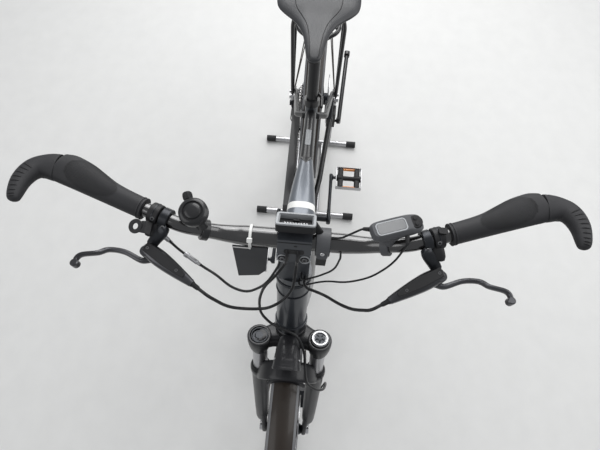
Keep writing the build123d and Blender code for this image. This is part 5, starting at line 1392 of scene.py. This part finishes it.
# %% Links and rollers
plate_end, plate_half, plate_waist, plate_thick = 3.8, 4.0, 1.1, 0.8
links, rollers = Shape(), Shape()
for i, pin in enumerate(pins_of_chain):
    way = pins_of_chain[(i + 1) % len(pins_of_chain)] - pin
    length = way.length
    way.normalize()
    outline = []
    for a in angles(20):
        place, s = 0.5 + 0.5 * math.cos(a), math.sin(a)
        waist = plate_half - plate_waist * math.sin(math.pi * min(1, max(0, place))) ** 2
        outline.append((place * (length + 2 * plate_end) - plate_end,
                        waist * math.copysign(abs(s) ** 0.7, s)))
    # A plate grows from its place towards the right, so half its thickness is added to centre it.
    for side in (1, -1):
        middle = pin + left * (chain_line + side * (2.0 if i % 2 else 1.1) + plate_thick / 2)
        links.plate(outline, middle, way, -left.cross(way), plate_thick)
    rollers.turn([(2.0, -2.75), (2.4, -2.7), (2.4, -1.1), (3.7, -1.0), (3.7, 1.0), (2.4, 1.1), (2.4, 2.7),
                  (2.0, 2.75)], pin + left * chain_line, left, 10)
make(links, "chain_links", "chain_steel", "frame", "chain", crease=30)
make(rollers, "chain_rollers", "bright_steel", "frame", crease=30)


def add_toothed_ring(shape, centre, side, thick, inner, root, teeth, tip=3.6, start=0.0):
    """A flat ring whose outer edge carries teeth."""
    outer_edge, inner_edge = [], []
    for tooth in range(teeth):
        for share, rise in ((0.0, 0.0), (0.2, 0.05), (0.4, 0.85), (0.5, 1.0), (0.6, 0.85), (0.8, 0.05)):
            turn = (tooth + share) * 360 / teeth + start
            outer_edge.append((root + tip * rise, turn))
            inner_edge.append((inner, turn))
    rings = [[polar(centre, r, a, side + face * thick / 2) for r, a in edge]
             for face, edge in ((-1, inner_edge), (-1, outer_edge), (1, outer_edge), (1, inner_edge))]
    shape.skin(rings, loop=True)

# %% [markdown]
# The sprockets are toothed rings on one carrier. The larger ones are open between six arms, and a lock
# ring holds the stack, as on any bicycle with gears at the rear.

# %% Sprockets
SPROCKETS = (
    # radius, steps from the chain's line, teeth
    (62.0, 3, 32), (55.0, 2, 28), (49.0, 1, 25), (43.5, 0, 22),
    (38.5, -1, 20), (34.0, -2, 17), (29.5, -3, 15), (25.0, -4, 13),
)
sprocket_step, sprocket_thick, open_from = 3.8, 1.7, 45
cogs = Shape()
for radius, steps, teeth in SPROCKETS:
    middle = chain_line + steps * sprocket_step
    add_toothed_ring(cogs, rear_axle, middle, sprocket_thick, 17.6 if radius < open_from else radius - 19,
                     radius - 2.6, teeth)
    if radius > open_from:
        for start in range(0, 360, 60):
            inner, outer = (polar(rear_axle, r, start + a, middle) for r, a in ((17, 0), (radius - 16, 14)))
            cogs.ovals([(inner, sprocket_thick / 2, 4.0), (outer, sprocket_thick / 2, 4.0)],
                       outer - inner, left, 8, 6)
cogs.turn([(18.6, 0), (18.6, 35)], rear_axle + left * (chain_line - 17), left, 40)
cogs.turn([(18, -3.2), (17, -4), (11.5, -4), (11, -2), (9.5, -2), (9.5, 0)],
          rear_axle + left * (chain_line - 16), left, 36)
make(cogs, "sprocket_stack", "dark_steel", "rear_wheel", "sprockets", crease=30)

# %% [markdown]
# ## Crankset and pedals
# A forged crank is thick at the spindle, slims at its waist and swells again at the pedal. The
# chainring is a toothed ring on five arms, with a bolt at the end of each.

# %% Crank arms and chainring
crank_length = 170
left_end, right_end = bracket - ahead * crank_length, bracket + ahead * crank_length
arms = Shape()
arms.turn([(12, -83), (12, 83)], bracket, left, 32)
for sign, end in ((1, left_end), (-1, right_end)):
    way = (end - bracket).normalized()
    rows = flowing([
        # place along the arm, half height, half thickness, place to the side
        (-18.0, 8.0, 6.0, 88.0),
        (-15.0, 15.0, 7.2, 88.0),
        (0.0, 18.6, 7.4, 87.6),
        (22.0, 14.5, 6.6, 87.6),
        (60.0, 12.0, 6.0, 88.0),
        (120.0, 11.0, 5.8, 88.4),
        (158.0, 12.6, 6.2, 88.4),
        (178.0, 11.0, 6.4, 88.2),
        (182.6, 5.0, 5.4, 88.2),
    ], 4)
    arms.ovals([(bracket + way * x + left * (sign * y), thick, half) for x, half, thick, y in rows],
               way, left, 24, 3.0)
    arms.turn([(12.5, 0), (12.5, 4.6), (11, 5.8), (6.2, 5.8), (5.8, 3), (0, 3)],
              bracket + left * (sign * 90), left * sign, 28)
    arms.turn([(9.0, -2), (9.0, 9.0), (5.5, 9.8), (5.5, 103), (4.6, 104)],
              end + left * (sign * 88), left * sign, 24)
make(arms, "crank_arms", "anodised_black", "crankset", "cranks", crease=32)
ring = Shape()
add_toothed_ring(ring, bracket, chain_line, 1.8, 68.0, 84.0, 42, 3.4, 3.0)
for turn in range(18, 360, 72):
    ring.ovals([(polar(bracket, r, turn, chain_line - y), 2.2, w) for r, y, w in (
        (14, 15, 10), (30, 11, 7.5), (50, 4, 6), (73, 1, 7))], polar(bracket, 1, turn) - bracket, left, 12, 4)
    ring.turn([(5.2, 0), (5.2, 1.6), (4.4, 2.2), (2.2, 2.2), (2.2, 0.8), (0, 0.8)],
              polar(bracket, 71, turn, chain_line - 2.4), -left, 16)
ring.turn([(26, 0), (26, 8), (20, 14), (13, 16)], bracket + left * (chain_line - 3), -left, 40)
make(ring, "chainring", "dark_steel", "crankset", crease=30)

# %% [markdown]
# Each pedal is a black core in a bright cage. Teeth along the front and rear plates hold the shoe, and
# an amber reflector fills each of these plates. One loop makes both pedals, each on its own body.

# %% Pedals
pedal_middle, pedal_half, pedal_teeth = 153, 46, 24
toothed_edge = [(pedal_half * (2 * k / pedal_teeth - 1), 10.6 if k % 2 else 7.6)
                for k in range(pedal_teeth + 1)]
toothed_plate = toothed_edge + [(y, -z) for y, z in reversed(toothed_edge)]
side_plate = [(-42, 7), (-20, 9.4), (20, 9.4), (42, 7), (42, -7), (20, -9.4), (-20, -9.4), (-42, -7)]
for sign, end, name, body in ((1, left_end, "left_pedal", "pedal_left"),
                              (-1, right_end, "right_pedal", "pedal_right")):
    heart = end + left * (sign * pedal_middle)
    core, cage, glow = Shape(), Shape(), Shape()
    core.turn([(8.5, -46), (11.5, -44), (12.5, -30), (8.6, -22), (8.2, 14), (11.6, 24), (12.2, 42), (9, 46),
               (0, 46)], heart, left * sign, 28)
    for y in (-30, 30):
        core.ovals([(heart + left * (sign * y) + ahead * x, 10, 7.5) for x in (-38, -20, 20, 38)],
                   ahead, left, 16, 4)
    for x in (1, -1):
        cage.plate(toothed_plate, heart + ahead * (x * 42.4), left, up, 1.8 * -x)
        glow.plate(rounded(50, 11, 2), heart + ahead * (x * 38.9), left, up, 3.4 * -x)
    for y in (-1, 1):
        cage.plate(side_plate, heart + left * (y * 46.6), ahead, up, 1.6 * y)
    make(core, name + "_core", "moulded_black", body, name, bevel=0.6)
    make(cage, name + "_cage", "bright_aluminium", body, crease=30)
    make(glow, name + "_reflectors", "amber_reflector", body, bevel=0.4)

# %% [markdown]
# ## Top tube and head tube
# The top tube is painted in two tones: black at the saddle and silver grey from its middle to the
# head tube. One pale band crosses it, drawn as a thin white collar. A bare label place sits on the
# black part. The skin follows the same widths and heights as the solid, read through a smooth curve.

# %% The top tube's line and its sections
head_tube_start, head_tube_length = 471.0, 150.0
head_tube_end = head_tube_start + head_tube_length
tube_rear = bracket + seat_up * 432
tube_front = on_fork(head_tube_end - 48)
tube_way = (tube_front - tube_rear).normalized()
tube_length = (tube_front - tube_rear).length
tube_over = tube_way.cross(left).normalized()
tube_over = tube_over if tube_over.z > 0 else -tube_over
tube_rows = flowing([
    # share of the length, half width, half height
    (0.0, 15.0, 16.0),
    (0.2, 15.6, 16.4),
    (0.36, 17.0, 17.0),
    (0.52, 26.0, 20.0),
    (0.66, 31.0, 22.0),
    (0.85, 30.0, 24.0),
    (1.0, 25.0, 26.0),
], 10)


def tube_size(share):
    """Half width and half height of the top tube at a share of its length."""
    for row, after in zip(tube_rows, tube_rows[1:]):
        if row[0] <= share <= after[0]:
            t = (share - row[0]) / (after[0] - row[0])
            return row[1] + (after[1] - row[1]) * t, row[2] + (after[2] - row[2]) * t
    return tube_rows[-1][1:]


def tube_ring(share, grow=0.0):
    """One ring of the top tube's skin."""
    half, rise = tube_size(share)
    middle = tube_rear + tube_way * (share * tube_length)
    return oval(middle, tube_way, left, half + grow, rise + grow, 44, 2.6)


def on_tube_top(share, lift=0.0):
    """A point on the middle of the tube's upper face."""
    return tube_rear + tube_way * (share * tube_length) + tube_over * (tube_size(share)[1] + lift)

# %% [markdown]
# The two tones meet at a place along the tube, so each is a length of skin with its own finish. The
# band is a thin collar over them, and a row of short strokes softens the edge where the tones meet.

# %% Two painted lengths, the band and the label
tone_change, band_start, band_end = 0.375, 0.632, 0.664
for name, first, last, finish, slot, stands_for in (
        ("top_tube_rear_length", 0.034, tone_change, "satin_black", "frame_black", "top_tube"),
        ("top_tube_front_length", tone_change, 0.945, "silver_paint", "frame_silver_grey", ())):
    painted = Shape()
    painted.skin([tube_ring(first + (last - first) * k / 26) for k in range(27)])
    make(painted, name, finish, "frame", stands_for)
band = Shape()
band.skin([tube_ring(band_start + (band_end - band_start) * k / 4, 0.15) for k in range(5)])
make(band, "top_tube_band", "white_plastic", "frame")
fade = Shape()
for k in range(12):
    share = tone_change - 0.006 + 0.003 * k
    fade.ovals([(on_tube_top(share + d, -0.6), 15 - k * 1.2, 0.9) for d in (0.0, 0.0036)],
               tube_way, left, 12, 2)
make(fade, "top_tube_tone_edge", "satin_black", "frame")
label = Shape()
label.plate(rounded(14, 62, 3), on_tube_top(0.235, -0.3), left, tube_way, -0.8)
make(label, "bare_label_place", "moulded_silver", "frame", bevel=0.2)

# %% [markdown]
# The head tube carries a ring at each end over the bearings, and the stem sits above it. Each ring
# stands out from the tube by a few millimetres, so the joint reads as two parts.

# %% Head tube rings
rings_shape = Shape()
for start, sign in ((head_tube_start, -1), (head_tube_end, 1)):
    rings_shape.turn([(29, 0), (32.3, 0), (32.8, 0.8), (32.8, 3.0), (32.0, 4.0), (31.0, 4.6), (20, 4.9)],
                     on_fork(start), steer_up * sign, 56)
rings_shape.turn([(30.0, 0), (31.6, 0.6), (31.9, 1.6), (31.6, 2.6), (30.0, 3.2)],
                 on_fork(head_tube_start + 118), steer_up, 56)
rings_shape.turn([(30.2, 0), (32.9, 0.8), (32.9, 14.8), (30.2, 16.4)],
                 on_fork(head_tube_start + 0.4), steer_up, 56)
make(rings_shape, "head_tube_rings", "anodised_black", "frame")
print("the stem's middle stands", round(bar_along - head_tube_end, 1), "mm above the head tube")

# %% [markdown]
# ## Dust seals
# Rubber seals with a lip wipe the bright stanchions where they enter the legs, and a screw closes each
# leg at its foot. A bright ring just under each seal paints a glint on the top of the leg.

# %% Dust seals and foot screws
seals, glints, leg_trim = Shape(), Shape(), Shape()
for side in (leg_side, -leg_side):
    seat = on_fork(lowers_top, leg_ahead, side)
    seals.turn([(20.4, -6), (20.9, -5), (20.9, 2.6), (20.2, 4.6), (17.6, 6.2), (16.2, 6.6)],
               seat, steer_up, 40)
    glints.turn([(20.6, -9.4), (21.1, -9.0), (21.1, -7.6), (20.6, -7.2)], seat, steer_up, 40)
    leg_trim.turn([(6.5, 0), (6.5, 3.0), (5.6, 3.8), (2.6, 3.8), (2.4, 1.6), (0, 1.6)],
                  on_fork(2, leg_ahead, side), -steer_up, 20)
make(seals, "fork_dust_seals", "soft_rubber", "fork")
# bright rings that paint a glint under each seal
make(glints, "fork_seal_glint_bands", "bright_aluminium", "fork")
make(leg_trim, "fork_foot_screws", "dark_steel", "fork")

# %% [markdown]
# ## Mudguards
# Each mudguard is a thin brown-black arch with two low ribs on its back, and a light grey strip along
# both edges paints the highlight where its rim catches the light. They are rings set along the same arc
# as the solid, and small bolts hold the wire stays.

# %% Mudguard edge highlights, ribs and stay bolts
guard_radius, guard_shoulder, guard_half, guard_steps = 374.0, 11.0, 30.0, 59
for axle, start, end, name, body in ((front_axle, 50, 190, "front_mudguard", "fork"),
                                     (rear_axle, 3, 195, "rear_mudguard", "frame")):
    rim_highlights, ribs = Shape(), Shape()
    # A light grey strip along each edge paints the highlight where the rim catches the light.
    for side in (1, -1):
        rows = []
        for k in range(guard_steps + 1):
            a = start + 0.4 + (end - start - 0.8) * k / guard_steps
            outward = polar(axle, 1, a) - axle
            rows.append(oval(polar(axle, guard_radius - 8.3, a, side * (guard_half - 3.4)), tangent(axle, a),
                             left + outward * (-0.45 * side), 3.0, 0.7, 12, 3))
        rim_highlights.skin(rows)
    for side in (-12, 12):
        lift = guard_radius - guard_shoulder * (side / guard_half) ** 2 - 0.5
        rows = []
        for k in range(guard_steps + 1):
            a = start + 0.6 + (end - start - 1.2) * k / guard_steps
            way = tangent(axle, start + (end - start) * k / guard_steps)
            rows.append(oval(polar(axle, lift, a, side), way, left, 1.1, 0.5, 8, 2))
        ribs.skin(rows)
    make(rim_highlights, name + "_rim_highlights", "edge_highlight_grey", body)
    make(ribs, name + "_ribs", "warm_black", body)
stay_bolts = Shape()
for angle in (140, 160):
    for side in (1, -1):
        stay_bolts.turn([(4.2, 0), (4.2, 2.0), (3.0, 3.0), (0, 3.2)],
                        polar(rear_axle, guard_radius - 12, angle, side * 29.6), left * side, 14)
make(stay_bolts, "mudguard_stay_bolts", "bright_steel", "frame")

# %% [markdown]
# ## Battery and down tube
# The battery fills the upper face of the deep down tube. A key lock, a charge plug cover and a few thin
# grip ribs at its upper end are what tells it from the tube around it.

# %% Battery lock, plug cover and grip ribs
down_start = on_fork(head_tube_start + 50)
down_end = bracket + Vector((35, 0, 55))
down_way = (down_end - down_start).normalized()
down_length = (down_end - down_start).length
down_over = left.cross(down_way).normalized()


def on_down_tube(share, over, side):
    """A point by its share of the down tube's length, above its middle line and to the left."""
    return down_start + down_way * (share * down_length) + down_over * over + left * side


lock = Shape()
lock.turn([(9.0, -1.5), (9.0, 1.0), (8.2, 1.8), (4.2, 1.8), (4.0, 0.6), (0, 0.6)],
          on_down_tube(0.80, 12, 45.2), left, 32)
lock.plate(rounded(1.4, 5.6, 0.5, 2), on_down_tube(0.80, 12, 45.9), down_way, down_over, 0.8)
make(lock, "battery_key_lock", "bright_aluminium", "frame")
cover = Shape()
cover.plate(rounded(30, 17, 6), on_down_tube(0.80, -18, 43.0), down_way, down_over, 1.6)
cover.plate(rounded(6, 9, 2), on_down_tube(0.845, -18, 43.2), down_way, down_over, 1.8)
make(cover, "charge_plug_cover", "soft_rubber", "frame", bevel=0.6)
grip_strip = Shape()
for i in range(7):
    grip_strip.ovals([(on_down_tube(0.20 + 0.012 * i + d, 43.9, 0), 22 - i, 0.8) for d in (0.0, 0.005)],
                     down_way, left, 14, 3)
make(grip_strip, "battery_grip_ribs", "soft_rubber", "frame")

# %% [markdown]
# ## Motor cover
# The motor's round side covers are screwed on round the crank, each with a dished face and a raised
# rim, so that the block does not read as a plain box.

# %% Motor covers and screws
covers, cover_screws = Shape(), Shape()
motor_face, inner_screws, outer_screws = 41.6, 46, 60
cover_rows = ((60, -0.2), (58.6, 0.3), (56, 0.38), (52, 0.3), (50.6, -0.1), (20, -0.1), (17, 0.38),
              (14, 0.38))
for sign in (1, -1):
    covers.turn([(radius, motor_face + rise) for radius, rise in cover_rows], bracket, left * sign, 72)
    for angle, radius in ((20, outer_screws), (95, inner_screws), (150, outer_screws), (215, outer_screws),
                          (290, inner_screws), (335, outer_screws)):
        place = polar(bracket, radius, angle, sign * (motor_face - 0.2))
        cover_screws.turn([(4.2, 0), (4.2, 0.55), (3.6, 0.59), (1.8, 0.59), (1.7, 0.2), (0, 0.2)],
                          place, left * sign, 16)
make(covers, "motor_cover_rims", "moulded_grey", "frame")
make(cover_screws, "motor_screws", "dark_steel", "frame")

# %% [markdown]
# ## Rear lamp
# The rear lamp is a red lens in a black case. Rows of small prisms on its face throw light back, and as
# real forms they also catch the room's light.

# %% Rear lamp
lamp_face = at(-698.9, 0, 784)
lamp_case, lamp_lens = Shape(), Shape()
lamp_case.ovals([(lamp_face + ahead * x, w, h) for x, w, h in (
    (0.1, 40, 14), (-1.5, 42, 16), (-14, 42, 16), (-16, 41, 15))], ahead, left, 40, 5)
make(lamp_case, "rear_lamp_case", "moulded_black", "frame", "rear_light", crease=32)
lamp_lens.ovals([(lamp_face + ahead * x, w, h) for x, w, h in (
    (-15.5, 38.4, 12.6), (-18.4, 38.4, 12.6), (-19.3, 37, 11.4))], ahead, left, 40, 5)
prism_gap, prism_half = 4.2, 1.9
for i in range(-8, 9):
    for j in range(-2, 3):
        middle = lamp_face + Vector((-19.25, i * prism_gap, j * prism_gap))
        add_pyramid(lamp_lens, middle, left * prism_half, up * prism_half, middle - ahead * 0.7)
make(lamp_lens, "rear_lamp_lens", "lamp_red", "frame", crease=20)

# %% [markdown]
# ## Rack and stand details
# Where two tubes are welded, a small bead of metal goes round the joint. A turned ring at each joint is
# all it takes, and it hides the hard line where one tube runs into another.

# %% Rack beads and bolts
beads, rack_bolts = Shape(), Shape()
first_bar, last_bar, bar_gap = -372, -672, 75
for x in range(first_bar, last_bar - 1, -bar_gap):
    for sign in (1, -1):
        beads.turn([(4.1, 0), (5.4, 1.2), (5.0, 3.0), (4.1, 5.2)], at(x, sign * 54.6, 790), left * -sign, 20)
for sign in (1, -1):
    rack_bolts.turn([(5.4, 0), (5.4, 4.4), (4.6, 5.2), (2.6, 5.2), (2.5, 2.4), (0, 2.4)],
                    rear_axle + Vector((8, sign * 86.5, 36)), left * sign, 18)
make(beads, "rack_weld_beads", "satin_black", "frame")
make(rack_bolts, "rack_foot_bolts", "bright_steel", "frame")

# %% [markdown]
# The stand's cross tubes are welded to its floor rails in the same way, with a bolt on each side.

# %% Stand bolts and weld beads
stand_bits = Shape()
tube_height = 14
for cross_tube, inward in ((-533, ahead), (-160, -ahead)):
    for sign in (1, -1):
        stand_bits.turn([(7.2, 11.0), (8.2, 11.6), (7.6, 13.4), (7.1, 14.6)],
                        at(cross_tube, sign * 52, tube_height), inward, 20)
        stand_bits.turn([(5, 9.8), (5, 12.6), (4.2, 13.4), (0, 13.6)],
                        at(cross_tube, sign * 120, tube_height), up, 6)
make(stand_bits, "stand_bolts_and_beads", "zinc_stand", "frame", crease=30)

# %% [markdown]
# ## Floor and light
# A plain pale floor and broad soft lamps show form and gloss without hard shadows. The floor lies a
# little under the feet of the stand, so the two never share a plane and flicker. The world is a pale
# grey that metal can mirror, so that black gloss keeps a soft edge light.

# %% Floor, world and lamps
floor_mesh = bpy.data.meshes.new("studio_floor")
reach, floor_height = 6.0, -0.8 * MM
floor_corners = ((-1, -1), (1, -1), (1, 1), (-1, 1))
floor_mesh.from_pydata([(x * reach, y * reach, floor_height) for x, y in floor_corners], [], [(0, 1, 2, 3)])
floor = bpy.data.objects.new("studio_floor", floor_mesh)
bpy.context.scene.collection.objects.link(floor)
floor_paint = make_finish("floor_paint", (0.66, 0.66, 0.65), 0.7, bump=0.02, mottle=0.02, wear=0.0)
floor_mesh.materials.append(floor_paint)

world = bpy.data.worlds.new("studio_world")
world.use_nodes = True
background = world.node_tree.nodes["Background"]
background.inputs["Color"].default_value = (0.80, 0.82, 0.85, 1.0)
background.inputs["Strength"].default_value = 0.45
bpy.context.scene.world = world
LAMPS = (
    # name, place in metres, size, watts
    ("window_side", (-0.4, 2.3, 2.7), 2.2, 40.0),
    ("room_side", (1.2, -2.4, 2.8), 2.4, 28.0),
    ("far_window", (-3.0, 0.0, 2.7), 2.6, 90.0),
    ("ceiling", (-1.5, 0.0, 3.3), 1.6, 26.0),
)
lit_point = Vector((0.0, 0.0, 0.6))
for name, place, size, watts in LAMPS:
    lamp = bpy.data.lights.new(name, "AREA")
    lamp.size = size
    lamp.energy = watts
    lamp_object = bpy.data.objects.new(name, lamp)
    lamp_object.location = place
    lamp_object.rotation_euler = (lit_point - Vector(place)).to_track_quat("-Z", "Y").to_euler()
    bpy.context.scene.collection.objects.link(lamp_object)
bpy.context.scene.view_settings.view_transform = "Standard"
print(len(LAMPS), "lamps")
